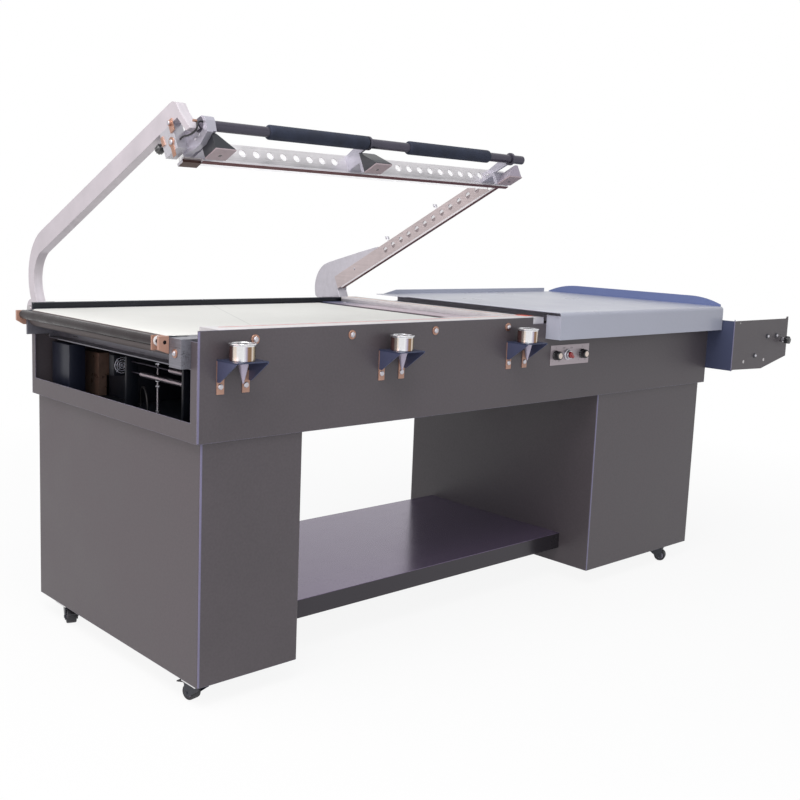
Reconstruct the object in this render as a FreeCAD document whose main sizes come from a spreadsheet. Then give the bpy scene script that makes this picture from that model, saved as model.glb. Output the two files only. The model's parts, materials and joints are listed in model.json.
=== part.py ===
"""L bar sealer: a film-sealing table on two steel pedestals.

The machine has a conveyor bed with a seal pad along its front and right side, an L shaped
sealing head that hinges along the rear edge and is held shut by three magnets, a product
tray over the film, and a film cradle on its right end.

Model frame before the last shift: X from the left end of the frame to the right, Y from the
front panel to the rear, Z up from the floor. Every node is then moved so that the origin
lies on the floor under the middle of the whole machine.

Pieces of the sealing head are drawn with the head closed, about its hinge: x as above,
y towards the rear and z up from the hinge axis. Their placement then lifts them open.
"""
import FreeCAD, Part
import math
import operator
import os
import types

import Sketcher
from FreeCAD import Placement, Rotation, Vector

SIZES = {
    # upper frame of bent sheet steel
    "frame_length": 2150,
    "frame_depth": 873,
    "frame_base": 652,
    "sheet_wall": 3,
    "panel_high": 262,
    "panel_low": 242,
    "panel_step": 1166,
    "window_sill": 46,
    "window_front": 30,
    "window_inset": 20,
    "post_height": 236,
    "post_notch": 185,
    "pan_sheet": 2,
    "inlet_height": 20,
    "inlet_radius": 6,
    # pedestals and shelf
    "pedestal_wall": 2,
    "pedestal_foot": 55,
    "pedestal_front": 8,
    "pedestal_inset": 7,
    "left_pedestal_start": 15,
    "left_pedestal_end": 312,
    "right_pedestal_length": 602,
    "right_pedestal_inset": 25,
    "pedestal_bend": 5,
    "shelf_front": 129,
    "shelf_rear": 747,
    "shelf_height": 158,
    "shelf_lip": 52,
    "shelf_hem": 16,
    "shelf_sheet": 2,
    # conveyor
    "belt_height": 243,
    "belt_thickness": 2,
    "belt_front": 95,
    "belt_inset": 28,
    "drive_x": 2,
    "idler_x": 1022,
    "roller_radius": 22,
    "roller_shaft": 8,
    "roller_end_gap": 1,
    "transfer_x": -36,
    "transfer_height": 229,
    "transfer_radius": 12.5,
    "transfer_shaft": 5,
    "transfer_front": 127,
    "running_gap": 0.3,
    "bore_gap": 0.05,
    "bed_start": -25,
    "bed_end": 1196,
    "side_front": 31,
    "side_width": 52,
    "side_low": 172,
    "side_high": 240.7,
    "side_wall": 2.5,
    "rear_side_inset": 26,
    "rear_side_plate": 6,
    "bed_plate": 2.7,
    "bed_plate_start": 30,
    "bed_plate_end": 1005,
    "cross_start": 40,
    "cross_width": 35,
    "cross_low": 160,
    "cross_high": 193,
    "cross_wall": 3,
    "end_member_start": 1060,
    "end_member_low": 205,
    "spacer_width": 30,
    "spacer_first": 300,
    "spacer_pitch": 400,
    "bracket_start": -52,
    "bracket_end": 25,
    "bracket_thickness": 8,
    "bracket_low": 200,
    "bracket_toe": 12,
    "bracket_waist": 34,
    "bracket_crown": 4,
    "angle_width": 24,
    "angle_tall": 35,
    # drive
    "motor_x": 195,
    "motor_height": 92,
    "motor_inset": 43,
    "motor_length": 105,
    "motor_width": 130,
    "motor_tall": 64,
    "sprocket_radius": 18,
    "chain_thickness": 4,
    "chain_width": 8,
    "chain_inset": 16,
    "control_x": 160,
    "control_length": 260,
    "control_depth": 162,
    "control_gap": 3,
    "control_height": 150,
    "fan_inset": 90,
    "fan_height": 105,
    "fan_radius": 25,
    "relay_x": 45,
    "relay_length": 50,
    "relay_inset": 33,
    "relay_depth": 105,
    # balance springs and leads
    "spring_x": 112,
    "anchor_width": 36,
    "spring_front": 222,
    "spring_rear": 500,
    "spring_wall": 8,
    "spring_radius": 8,
    "pull_rod_radius": 3,
    "anchor_height": 140,
    "upper_spring_height": 128,
    "upper_spring_length": 70,
    "lower_spring_height": 100,
    "lower_spring_length": 215,
    "post_y": 394,
    "lead_radius": 4,
    # rails, pads and their holders
    "rail_width": 15,
    "rail_height": 18,
    "rail_wall": 3,
    "side_rail_start": 1045,
    "side_rail_end": 1125,
    "side_rail_height": 246,
    "pad_thickness": 6,
    "pad_rear": 90,
    "pad_start": 60,
    "pad_end": 1218,
    "pad_block_length": 37,
    "side_pad_start": 1130,
    "side_pad_inset": 18,
    # magnets and their brackets
    "catch_first": 50,
    "catch_second": 550,
    "catch_third": 1052,
    "catch_width": 91,
    "gusset_wall": 3,
    "shelf_plate_height": 195,
    "bracket_reach": 78,
    "bracket_foot": 142,
    "tab_width": 20,
    "tab_low": 113,
    "tab_high": 165,
    "tab_wall": 2.5,
    "tab_bolt_height": 131,
    "slot_radius": 4.5,
    "magnet_offset": 42,
    "magnet_from_gusset": 42,
    "magnet_radius": 30,
    "magnet_rim": 33,
    "magnet_top": 235.4,
    "magnet_recess": 5,
    "magnet_bore": 26,
    "magnet_pole": 12,
    "stud_radius": 13,
    "stud_low": 142,
    # product tray
    "tray_height": 279,
    "tray_sheet": 2,
    "tray_start": 1216,
    "tray_tongue": 1198,
    "tongue_front": 600,
    "tray_inset": 3,
    "tray_front": -56,
    "tray_rear": 745,
    "tray_bend": 12,
    "skirt_start": 1228,
    "skirt_low": 196,
    "return_drop": 11,
    "end_flange_low": 243,
    "bearer_first": 1300,
    "bearer_inset": 110,
    "bearer_width": 40,
    "lip_start": 1234,
    "lip_slant": 60,
    "lip_inset": 33,
    "lip_height": 14,
    "end_lip_front": -43,
    "end_lip_low": 286,
    "end_lip_crown": 310,
    "end_lip_crown_front": 82,
    "end_lip_crown_rear": 603,
    "end_lip_tail": 282,
    # controls
    "plate_start": 1256,
    "plate_length": 190,
    "plate_low": 111,
    "plate_tall": 62,
    "plate_thickness": 1.5,
    "timer_x": 1281,
    "mode_x": 1338,
    "heat_x": 1412,
    "knob_height": 142,
    "knob_radius": 12,
    "knob_length": 20,
    "spindle_radius": 3,
    "spindle_length": 14,
    "bezel_radius": 14,
    "bezel_length": 4,
    "lever_radius": 8,
    "lever_length": 16,
    # film cradle
    "cradle_front": -100,
    "cradle_rear": 700,
    "cradle_sheet": 3,
    "cradle_reach": 393,
    "cradle_top": 231,
    "cradle_foot": 53,
    "cradle_flange": 60,
    "cradle_inner_reach": 84,
    "cradle_outer_reach": 229,
    "cradle_axle_height": 82,
    "cradle_roller": 19,
    "cradle_axle": 6,
    "cradle_side_gap": 4,
    "cradle_knob_reach": 351,
    "cradle_knob_height": 152,
    "cradle_knob_radius": 11,
    "cradle_stud": 5,
    # hinge and sealing head
    "hinge_behind": 47,
    "hinge_height": 235,
    "open_angle": 26.2,
    "hinge_shaft_radius": 12,
    "hinge_shaft_start": 12,
    "hinge_shaft_end": 1192,
    "bearing_first": 50,
    "bearing_second": 1100,
    "bearing_width": 40,
    "bearing_radius": 22,
    "bearing_foot": 10,
    "boss_radius": 30,
    "left_arm_start": 20,
    "left_arm_width": 26,
    "arm_beyond": 52,
    "arm_under_rear": 122,
    "arm_under_front": 105,
    "arm_depth_rear": 52,
    "arm_depth_front": 45,
    "arm_leg_rear": 12,
    "arm_leg_front": 45,
    "arm_leg_top": 30,
    "arm_knee": 128,
    "arm_elbow": 165,
    "tail_reach": 81,
    "tail_height": 62,
    "shoulder_reach": 13,
    "shoulder_height": 50,
    "bar_end": 1184,
    "bar_start": 49,
    "bar_inset": 42,
    "bar_depth": 44,
    "bar_low": 34,
    "bar_high": 80,
    "bar_wall": 3,
    "bar_skirt": 62,
    "side_bar_rear": 52,
    "bar_hole_radius": 10,
    "bar_hole_height": 58,
    "bar_hole_pitch": 41.5,
    "front_hole_first": 219,
    "front_hole_second": 737,
    "side_hole_first": 337,
    "right_arm_width": 40,
    "right_arm_front": 296,
    "strip_low": 27,
    "strip_width": 12,
    "strip_start": 100,
    "tube_beyond": 87,
    "tube_height": 71,
    "tube_radius": 12.5,
    "tube_start": 60,
    "tube_end": 1170,
    "grip_radius": 18,
    "grip_first": 240,
    "grip_first_end": 556,
    "grip_second": 702,
    "grip_second_end": 1021,
    "handle_block_width": 26,
    "support_wall": 6,
    "support_ring": 18,
    "wedge_beyond": 56,
    "wedge_depth": 50,
    "wedge_apex": 57,
    "wedge_width": 55,
    "wedge_shift": 15,
    "prism_height": 42,
    "prism_top": 12,
    "armature_low": 0.7,
    "armature_thickness": 3.3,
    "clamp_behind": 32,
    "clamp_depth": 56,
    "clamp_low": 44,
    "clamp_start": 20,
    "wire_knob_behind": 65,
    "wire_knob_height": 86,
    "wire_knob_x": 33,
    "wire_knob_radius": 12,
    # casters
    "caster_plate": 4,
    "caster_plate_side": 60,
    "caster_race": 5,
    "caster_crown": 4,
    "wheel_radius": 20,
    "wheel_width": 28,
    "caster_trail": 24,
    "fork_wall": 2.5,
    "fork_gap": 1.5,
    "axle_radius": 4,
    "left_caster_x": 46,
    "right_caster_inset": 163,
    "front_caster_y": 52,
    "rear_caster_inset": 137,
    "pedal_width": 26,
    "pedal_length": 30,
    # fasteners
    "washer_thickness": 2,
    "bolt_radius": 8,
    "bolt_head": 6,
    "tab_bolt_radius": 7,
    "panel_bolt_height": 237,
    "panel_bolt_first": 156,
    "panel_bolt_pitch": 299,
    "cradle_bolt_reach": 242,
    "cradle_bolt_height": 169,
    "cradle_pin_reach": 159,
    "cradle_pin_height": 101,
    "cradle_stud_reach": 308,
    "flange_bolt_inset": 40,
    "side_bolt_height": 206,
    "rail_screw_first": 190,
    "rail_screw_pitch": 370,
    "rail_screw_inset": 9,
}

doc = FreeCAD.newDocument("l_bar_sealer")
sheet = doc.addObject("Spreadsheet::Sheet", "sizes")


class Size:
    """A length or an angle that carries its value and its expression in the sheet."""

    def __init__(self, value, text):
        self.value = value
        self.text = text

    def __add__(self, other):
        return mixed(self, "+", other)

    def __radd__(self, other):
        return mixed(other, "+", self)

    def __sub__(self, other):
        return mixed(self, "-", other)

    def __rsub__(self, other):
        return mixed(other, "-", self)

    def __mul__(self, other):
        return mixed(self, "*", other)

    def __rmul__(self, other):
        return mixed(other, "*", self)

    def __truediv__(self, other):
        return mixed(self, "/", other)

    def __neg__(self):
        return mixed(0, "-", self)


SIGNS = {"+": operator.add, "-": operator.sub, "*": operator.mul, "/": operator.truediv}


def number(size):
    """The value of a size or of a plain number."""
    return size.value if isinstance(size, Size) else size


def words(size):
    """The expression of a size or of a plain number."""
    return size.text if isinstance(size, Size) else "(%s)" % size


def mixed(left, sign, right):
    """Two sizes joined by a sign of arithmetic."""
    value = SIGNS[sign](number(left), number(right))
    return Size(value, "(%s %s %s)" % (words(left), sign, words(right)))


def span(run, rise):
    """Straight distance over a run and a rise."""
    text = "sqrt(%s ^ 2 + %s ^ 2)" % (words(run), words(rise))
    return Size(math.hypot(number(run), number(rise)), text)


def slope(run, rise):
    """Angle in degrees of a line with this run and rise."""
    text = "(atan2(%s; %s) / 1 deg)" % (words(rise), words(run))
    return Size(math.degrees(math.atan2(number(rise), number(run))), text)


def fill_sheet():
    """Write the driving sizes to the sheet and return them as sizes that can be added."""
    named = types.SimpleNamespace()
    for row, (alias, value) in enumerate(SIZES.items(), start=1):
        sheet.set("A%d" % row, alias.replace("_", " "))
        sheet.set("B%d" % row, str(value))
        sheet.setAlias("B%d" % row, alias)
        setattr(named, alias, Size(value, "sizes." + alias))
    return named


S = fill_sheet()
doc.recompute()
# places that follow the frame's depth
S.window_rear = S.frame_depth - S.window_inset
S.pedestal_rear = S.frame_depth - S.pedestal_inset
S.belt_rear = S.frame_depth - S.belt_inset
S.rear_side = S.frame_depth - S.rear_side_inset
S.chain_front = S.frame_depth - S.chain_inset
S.motor_rear = S.frame_depth - S.motor_inset
S.control_rear = S.motor_rear - S.motor_length - S.control_gap
S.control_front = S.control_rear - S.control_depth
S.fan_front = S.control_front + S.fan_inset
S.relay_rear = S.frame_depth - S.relay_inset
S.side_pad_rear = S.frame_depth - S.side_pad_inset
S.rear_caster_y = S.frame_depth - S.rear_caster_inset
S.hinge_y = S.frame_depth + S.hinge_behind
# places that follow the frame's length
S.tray_end = S.frame_length - S.tray_inset
S.lip_end = S.frame_length - S.lip_inset
S.bearer_second = S.frame_length - S.bearer_inset
S.right_pedestal_end = S.frame_length - S.right_pedestal_inset
S.right_pedestal_start = S.right_pedestal_end - S.right_pedestal_length
S.right_caster_x = S.frame_length - S.right_caster_inset
S.cradle_end = S.frame_length + S.cradle_reach
S.cradle_inner_x = S.frame_length + S.cradle_inner_reach
S.cradle_outer_x = S.frame_length + S.cradle_outer_reach
S.cradle_knob_x = S.frame_length + S.cradle_knob_reach
# reaches of the sealing head from its hinge
S.bar_front = S.hinge_y - S.bar_inset
S.arm_front = S.bar_front + S.arm_beyond
S.tube_reach = S.bar_front + S.tube_beyond
S.wedge_rear = S.bar_front + S.wedge_beyond
S.wedge_front = S.wedge_rear + S.wedge_depth
S.clamp_rear = S.bar_front - S.clamp_behind
S.clamp_front = S.clamp_rear + S.clamp_depth
S.wire_knob_reach = S.bar_front - S.wire_knob_behind
nodes = []

# how a cylinder or a turned body, drawn along Z, is laid along another axis
LAID = {
    "x": Rotation(Vector(0, 1, 0), 90),
    "y": Rotation(Vector(1, 0, 0), -90),
    "z": Rotation(),
}
# the planes of a body, and whether a pad has to be reversed to grow along +Y
PLANES = {"xy": "XY_Plane", "xz": "XZ_Plane", "yz": "YZ_Plane"}


def bind(thing, name, size):
    """Tie one property of an object to the sheet."""
    thing.setExpression(name, words(size))


def put(thing, where):
    """Tie an object's place to the sheet."""
    for axis, size in zip("xyz", where):
        bind(thing, "Placement.Base." + axis, size)
    return thing


def block(name, low, high):
    """A box between two opposite corners."""
    thing = doc.addObject("Part::Box", name)
    for side, start, end in zip(("Length", "Width", "Height"), low, high):
        bind(thing, side, end - start)
    return put(thing, low)


def rod(name, axis, start, radius, length):
    """A round bar from the middle of its first end, along an axis."""
    thing = doc.addObject("Part::Cylinder", name)
    thing.Placement = Placement(Vector(), LAID[axis])
    bind(thing, "Radius", radius)
    bind(thing, "Height", length)
    return put(thing, start)


def cut(name, base, *tools):
    """A piece with one or more shapes taken out of it."""
    thing = doc.addObject("Part::Cut", name)
    thing.Base = base
    thing.Tool = tools[0] if len(tools) == 1 else fused(name + "_tools", *tools)
    return thing


def fused(name, *things):
    """Several shapes made one solid."""
    thing = doc.addObject("Part::MultiFuse", name)
    thing.Shapes = list(things)
    thing.Refine = True
    return thing


def attach(sketch, body, plane):
    """Lay a sketch on one of its body's own planes."""
    role = PLANES[plane]
    planes = [one for one in body.Origin.OriginFeatures if one.Role == role]
    sketch.AttachmentSupport = (planes[0], [""])
    sketch.MapMode = "FlatFace"


def arc_side(start, end, radius):
    """The arc between two corners, bulging to the right, or to the left if below zero."""
    if radius < 0:
        return arc_side(end, start, -radius)
    chord = Vector(*end) - Vector(*start)
    middle = (Vector(*start) + Vector(*end)) * 0.5
    left = Vector(-chord.y, chord.x, 0).normalize()
    rise = math.sqrt(max(radius ** 2 - (chord.Length / 2) ** 2, 0))
    centre = middle + left * rise
    first = math.atan2(start[1] - centre.y, start[0] - centre.x)
    last = math.atan2(end[1] - centre.y, end[0] - centre.x)
    circle = Part.Circle(centre, Vector(0, 0, 1), radius)
    return Part.ArcOfCircle(circle, first, last if last > first else last + 2 * math.pi)


def outline(body, plane, corners):
    """A closed sketch, counter-clockwise; a corner with a radius is reached by an arc.

    A radius below zero gives a hollow arc.
    """
    sketch = body.newObject("Sketcher::SketchObject", body.Name + "_outline")
    attach(sketch, body, plane)
    spots = [(number(corner[0]), number(corner[1]), 0) for corner in corners]
    first_ends, last_ends = [], []
    for index in range(len(corners)):
        following = (index + 1) % len(corners)
        radius = corners[following][2] if len(corners[following]) == 3 else None
        hollow = radius is not None and number(radius) < 0
        first_ends.append(2 if hollow else 1)
        last_ends.append(1 if hollow else 2)
        if radius is not None:
            sketch.addGeometry(arc_side(spots[index], spots[following], number(radius)))
            reach = -radius if hollow else radius
            sketch.addConstraint(Sketcher.Constraint("Radius", index, number(reach)))
            sketch.setExpression("Constraints[%d]" % (sketch.ConstraintCount - 1), words(reach))
        else:
            side = Part.LineSegment(Vector(*spots[index]), Vector(*spots[following]))
            sketch.addGeometry(side)
    for index, corner in enumerate(corners):
        before = (index - 1) % len(corners)
        first_end, last_end = first_ends[index], last_ends[before]
        sketch.addConstraint(Sketcher.Constraint("Coincident", before, last_end, index, first_end))
        for way, size in zip(("DistanceX", "DistanceY"), corner):
            tie = Sketcher.Constraint(way, -1, 1, index, first_end, number(size))
            sketch.addConstraint(tie)
            sketch.setExpression("Constraints[%d]" % (sketch.ConstraintCount - 1), words(size))
    return sketch


def plate(name, plane, corners, thickness, where=(0, 0, 0)):
    """A body padded from an outline, growing along the axis that the plane faces."""
    body = doc.addObject("PartDesign::Body", name)
    pad = body.newObject("PartDesign::Pad", name + "_pad")
    pad.Profile = outline(body, plane, corners)
    pad.Reversed = plane == "xz"
    bind(pad, "Length", thickness)
    body.Tip = pad
    return put(body, where)


def turned(name, axis, where, corners):
    """A body turned from half of its section, given as radius and height along its axis."""
    body = doc.addObject("PartDesign::Body", name)
    sketch = outline(body, "xz", corners)
    turn = body.newObject("PartDesign::Revolution", name + "_turn")
    turn.Profile = sketch
    turn.ReferenceAxis = (sketch, ["V_Axis"])
    turn.Angle = 360
    body.Tip = turn
    body.Placement = Placement(Vector(), LAID[axis])
    return put(body, where)


def round_edges(body, radius, chosen):
    """Round the edges of a body's last feature that the test picks."""
    doc.recompute()
    base = body.Tip
    edges = ["Edge%d" % count for count, edge in enumerate(base.Shape.Edges, 1) if chosen(edge)]
    fillet = body.newObject("PartDesign::Fillet", body.Name + "_round")
    fillet.Base = (base, edges)
    bind(fillet, "Radius", radius)
    body.Tip = fillet
    return body


def upright(edge):
    """Whether a straight edge stands along Z."""
    ends = edge.Vertexes
    if len(ends) < 2 or edge.Curve.TypeId != "Part::GeomLine":
        return False
    return abs(ends[0].X - ends[1].X) + abs(ends[0].Y - ends[1].Y) < 1e-6


def hole_row(body, plane, first, radius, pitch, count, along):
    """A row of round holes through a body, as one pocket and its pattern."""
    sketch = body.newObject("Sketcher::SketchObject", body.Name + "_hole")
    attach(sketch, body, plane)
    spot = Vector(number(first[0]), number(first[1]), 0)
    sketch.addGeometry(Part.Circle(spot, Vector(0, 0, 1), number(radius)))
    sketch.addConstraint(Sketcher.Constraint("Radius", 0, number(radius)))
    sketch.setExpression("Constraints[0]", words(radius))
    for index, way in enumerate(("DistanceX", "DistanceY")):
        sketch.addConstraint(Sketcher.Constraint(way, -1, 1, 0, 3, number(first[index])))
        sketch.setExpression("Constraints[%d]" % (index + 1), words(first[index]))
    pocket = body.newObject("PartDesign::Pocket", body.Name + "_pocket")
    pocket.Profile = sketch
    pocket.Type = "ThroughAll"
    pocket.Midplane = True
    doc.recompute()
    pattern = body.newObject("PartDesign::LinearPattern", body.Name + "_row")
    pattern.Originals = [pocket]
    pattern.Direction = (sketch, [along])
    pattern.Occurrences = count
    bind(pattern, "Length", pitch * (count - 1))
    body.Tip = pattern
    return body


def node(name, *things, frame="machine"):
    """One named sub-part of the machine, of one or more solids."""
    group = doc.addObject("Part::Compound", name)
    group.Links = list(things)
    if frame == "head":
        group.Placement = Placement(Vector(), Rotation(Vector(-1, 0, 0), 1))
        bind(group, "Placement.Rotation.Angle", S.open_angle)
        put(group, (-MIDDLE_X, S.hinge_y - MIDDLE_Y, HINGE_Z))
    else:
        put(group, (-MIDDLE_X, -MIDDLE_Y, 0))
    nodes.append(group)
    return group


def cosine(angle):
    """Cosine of an angle in degrees."""
    return Size(math.cos(math.radians(number(angle))), "cos(%s * 1 deg)" % words(angle))


def sine(angle):
    """Sine of an angle in degrees."""
    return Size(math.sin(math.radians(number(angle))), "sin(%s * 1 deg)" % words(angle))


def level_radius(run, drop):
    """Radius of an arc that starts level and falls by a drop over a run."""
    return (run * run + drop * drop) / (drop * 2)


# places that several pieces share
BASE = S.frame_base
HINGE_Z = BASE + S.hinge_height
LOW_TOP = BASE + S.panel_low
REAR_FACE = S.frame_depth - S.sheet_wall
END_FACE = S.frame_length - S.sheet_wall
ROLLER_Z = BASE + S.belt_height - S.belt_thickness - S.running_gap - S.roller_radius
SIDE_REAR = S.side_front + S.side_width
PAD_TOP = BASE + S.hinge_height + S.strip_low - S.running_gap
PAD_LOW = PAD_TOP - S.pad_thickness
CATCHES = (("left", S.catch_first), ("middle", S.catch_second), ("right", S.catch_third))
CRADLE_FRONT_FACE = S.cradle_front - S.cradle_sheet
KNOB_FRONT = CRADLE_FRONT_FACE - 34
# the right arm's round shoulder, about a middle in front of and above the hinge
SHOULDER = span(S.tail_reach + S.shoulder_reach, S.tail_height - S.shoulder_height)
SHOULDER_Y = S.hinge_y - S.shoulder_reach * cosine(S.open_angle) + S.shoulder_height * sine(S.open_angle)
ARM_REAR = SHOULDER_Y + SHOULDER
MIDDLE_X = (S.cradle_end + S.bracket_start) / 2
MIDDLE_Y = (ARM_REAR + KNOB_FRONT) / 2


def make_pedestals():
    """Two closed cabinets of folded sheet, open only under the frame that covers them."""
    depth = S.pedestal_rear - S.pedestal_front
    height = BASE - S.pedestal_foot
    wall = S.pedestal_wall
    ends = {
        "left": (S.left_pedestal_start, S.left_pedestal_end),
        "right": (S.right_pedestal_start, S.right_pedestal_end),
    }
    for side, (start, end) in ends.items():
        name = side + "_pedestal"
        width = end - start
        corners = [(0, 0), (width, 0), (width, depth), (0, depth)]
        shell = plate(name + "_shell", "xy", corners, height, (start, S.pedestal_front, S.pedestal_foot))
        round_edges(shell, S.pedestal_bend, upright)
        low = (start + wall, S.pedestal_front + wall, S.pedestal_foot + wall)
        inside = block(name + "_inside", low, (end - wall, S.pedestal_rear - wall, BASE + 1))
        node(name, cut(name + "_walls", shell, inside))


def make_shelf():
    """The storage shelf: a tray of sheet turned down, with lips and hems front and rear."""
    front, rear, top = S.shelf_front, S.shelf_rear, S.shelf_height
    wall = S.shelf_sheet
    foot = top - S.shelf_lip
    corners = [
        (front, foot),
        (front + S.shelf_hem, foot),
        (front + S.shelf_hem, foot + wall),
        (front + wall, foot + wall),
        (front + wall, top - wall),
        (rear - wall, top - wall),
        (rear - wall, foot + wall),
        (rear - S.shelf_hem, foot + wall),
        (rear - S.shelf_hem, foot),
        (rear, foot),
        (rear, top),
        (front, top),
    ]
    length = S.right_pedestal_start - S.left_pedestal_end
    shelf = plate("shelf_sheet_metal", "yz", corners, length, (S.left_pedestal_end, 0, 0))
    node("storage_shelf", shelf)


def make_panels():
    """Front, rear and end panels and the pan that closes the frame underneath."""
    length, high, low = S.frame_length, S.panel_high, S.panel_low
    wall = S.sheet_wall
    corners = [(0, 0), (length, 0), (length, low), (S.panel_step, low), (S.panel_step, high), (0, high)]
    front = plate("front_sheet", "xz", corners, wall, (0, 0, BASE))
    holes = [
        rod("spindle_hole_%d" % count, "y", (x, -1, BASE + S.knob_height), S.spindle_radius * 2, wall + 2)
        for count, x in enumerate((S.timer_x, S.mode_x, S.heat_x), 1)
    ]
    node("front_panel", cut("front_sheet_drilled", front, *holes))

    rear = block("rear_sheet", (0, REAR_FACE, BASE), (length, S.frame_depth, LOW_TOP))
    inlet = rod("cable_inlet", "y", (S.motor_x, REAR_FACE - 1, BASE + S.inlet_height), S.inlet_radius, wall + 2)
    node("rear_panel", cut("rear_sheet_drilled", rear, inlet))

    corners = [
        (wall, 0),
        (REAR_FACE, 0),
        (REAR_FACE, S.post_height),
        (REAR_FACE - 4, S.post_height),
        (REAR_FACE - 4, S.post_notch),
        (S.window_rear, S.post_notch),
        (S.window_rear, S.window_sill),
        (S.window_front, S.window_sill),
        (S.window_front, S.post_height),
        (wall, S.post_height),
    ]
    left = plate("left_end_frame", "yz", corners, wall, (0, 0, BASE))
    right = block("right_end_sheet", (END_FACE, wall, BASE), (length, REAR_FACE, LOW_TOP))
    node("end_frames", left, right)

    pan_top = BASE + S.pan_sheet
    node("bottom_pan", block("pan_sheet_metal", (wall, wall, BASE), (END_FACE, REAR_FACE, pan_top)))


def make_conveyor_bed():
    """Side boxes, slider plate and cross members that carry the belt and its rollers."""
    low, high = BASE + S.side_low, BASE + S.side_high
    start, end = S.bed_start, S.bed_end
    wall = S.side_wall
    box = block("front_side_box", (start, S.side_front, low), (end, SIDE_REAR, high))
    inner = block(
        "front_side_hollow",
        (start + wall, S.side_front + wall, low + wall),
        (end + 1, SIDE_REAR - wall, high - wall),
    )
    bores = [
        rod("front_bore_%d" % count, "y", (x, SIDE_REAR - wall - 1, ROLLER_Z), BORE, wall + 2)
        for count, x in enumerate((S.drive_x, S.idler_x), 1)
    ]
    front = cut("front_side", box, inner, *bores)

    plate_rear = S.rear_side + S.rear_side_plate
    side = block("rear_side_plate", (start, S.rear_side, low), (end, plate_rear, high))
    spacers = [
        block(
            "rear_spacer_%d" % count,
            (S.spacer_first + S.spacer_pitch * count, plate_rear, low),
            (S.spacer_first + S.spacer_pitch * count + S.spacer_width, REAR_FACE, high),
        )
        for count in range(3)
    ]
    rear_bores = [
        rod("rear_bore_%d" % count, "y", (x, S.rear_side - 1, ROLLER_Z), BORE, S.rear_side_plate + 2)
        for count, x in enumerate((S.drive_x, S.idler_x), 1)
    ]
    rear = cut("rear_side", fused("rear_side_welded", side, *spacers), *rear_bores)

    slider = block(
        "slider_plate",
        (S.bed_plate_start, SIDE_REAR, high - S.bed_plate),
        (S.bed_plate_end, S.rear_side, high),
    )

    wall = S.cross_wall
    depth = S.cross_width
    tall = S.cross_high - S.cross_low
    corners = [
        (0, 0),
        (depth, 0),
        (depth, tall),
        (0, tall),
        (0, tall - wall),
        (depth - wall, tall - wall),
        (depth - wall, wall),
        (0, wall),
    ]
    length = S.rear_side - SIDE_REAR
    channel = plate("cross_channel", "xz", corners, length, (S.cross_start, SIDE_REAR, BASE + S.cross_low))
    # the channel hangs below the side boxes on a lug at each end
    lugs = [
        block(
            "cross_lug_%d" % count,
            (S.cross_start, y, BASE + S.cross_low),
            (S.cross_start + depth, y + S.cross_wall, low),
        )
        for count, y in enumerate((SIDE_REAR - S.cross_wall, S.rear_side), 1)
    ]
    member = block(
        "end_member",
        (S.end_member_start, SIDE_REAR, BASE + S.end_member_low),
        (end, S.rear_side, high),
    )
    node("conveyor_bed", front, rear, slider, fused("cross_channel_lugs", channel, *lugs), member)


BORE = S.roller_shaft + S.bore_gap


def belt_loop(name, radius, front, width):
    """A band that wraps both rollers at a radius, as a solid."""
    low, high = ROLLER_Z - radius, ROLLER_Z + radius
    flat = block(name + "_run", (S.drive_x, front, low), (S.idler_x, front + width, high))
    ends = [
        rod(name + "_end_%d" % count, "y", (x, front, ROLLER_Z), radius, width)
        for count, x in enumerate((S.drive_x, S.idler_x), 1)
    ]
    return fused(name, flat, *ends)


def make_belt():
    """The endless conveyor belt, clear of its rollers by the running gap."""
    inner = S.roller_radius + S.running_gap
    width = S.belt_rear - S.belt_front
    outside = belt_loop("belt_outside", inner + S.belt_thickness, S.belt_front, width)
    inside = belt_loop("belt_inside", inner, S.belt_front - 1, width + 2)
    node("conveyor_belt", cut("belt", outside, inside))


def make_rollers():
    """Belt rollers at both ends and the slim transfer roller in front of the belt."""
    gap = S.roller_end_gap
    length = S.belt_rear - S.belt_front - 2 * gap
    front = S.belt_front + gap
    shaft_front = SIDE_REAR - S.side_wall - 6
    plate_rear = S.rear_side + S.rear_side_plate
    radius, shaft = S.roller_radius, S.roller_shaft
    tails = (("drive_roller", S.drive_x, S.chain_front + S.chain_width), ("idler_roller", S.idler_x, plate_rear))
    for name, x, shaft_rear in tails:
        step = front - shaft_front
        corners = [
            (0, 0),
            (shaft, 0),
            (shaft, step),
            (radius, step),
            (radius, step + length),
            (shaft, step + length),
            (shaft, shaft_rear - shaft_front),
            (0, shaft_rear - shaft_front),
        ]
        roller = turned(name + "_steel", "y", (x, shaft_front, ROLLER_Z), corners)
        pieces = [roller]
        if name == "drive_roller":
            spot = (x, S.chain_front, ROLLER_Z)
            disc = rod("roller_sprocket_disc", "y", spot, S.sprocket_radius, S.chain_width)
            bore = rod("roller_sprocket_bore", "y", spot, S.roller_shaft, S.chain_width)
            pieces.append(cut("roller_sprocket", disc, bore))
        node(name, *pieces)

    start, end = S.transfer_front, S.belt_rear
    reach = S.side_front + S.side_width + 2
    shaft = S.transfer_shaft
    tail_end = S.rear_side + S.rear_side_plate + S.bracket_thickness - 2
    corners = [
        (0, 0),
        (shaft, 0),
        (shaft, start - reach),
        (S.transfer_radius, start - reach),
        (S.transfer_radius, end - reach),
        (shaft, end - reach),
        (shaft, tail_end - reach),
        (0, tail_end - reach),
    ]
    spot = (S.transfer_x, reach, BASE + S.transfer_height)
    node("transfer_roller", turned("transfer_roller_steel", "y", spot, corners))


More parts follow.
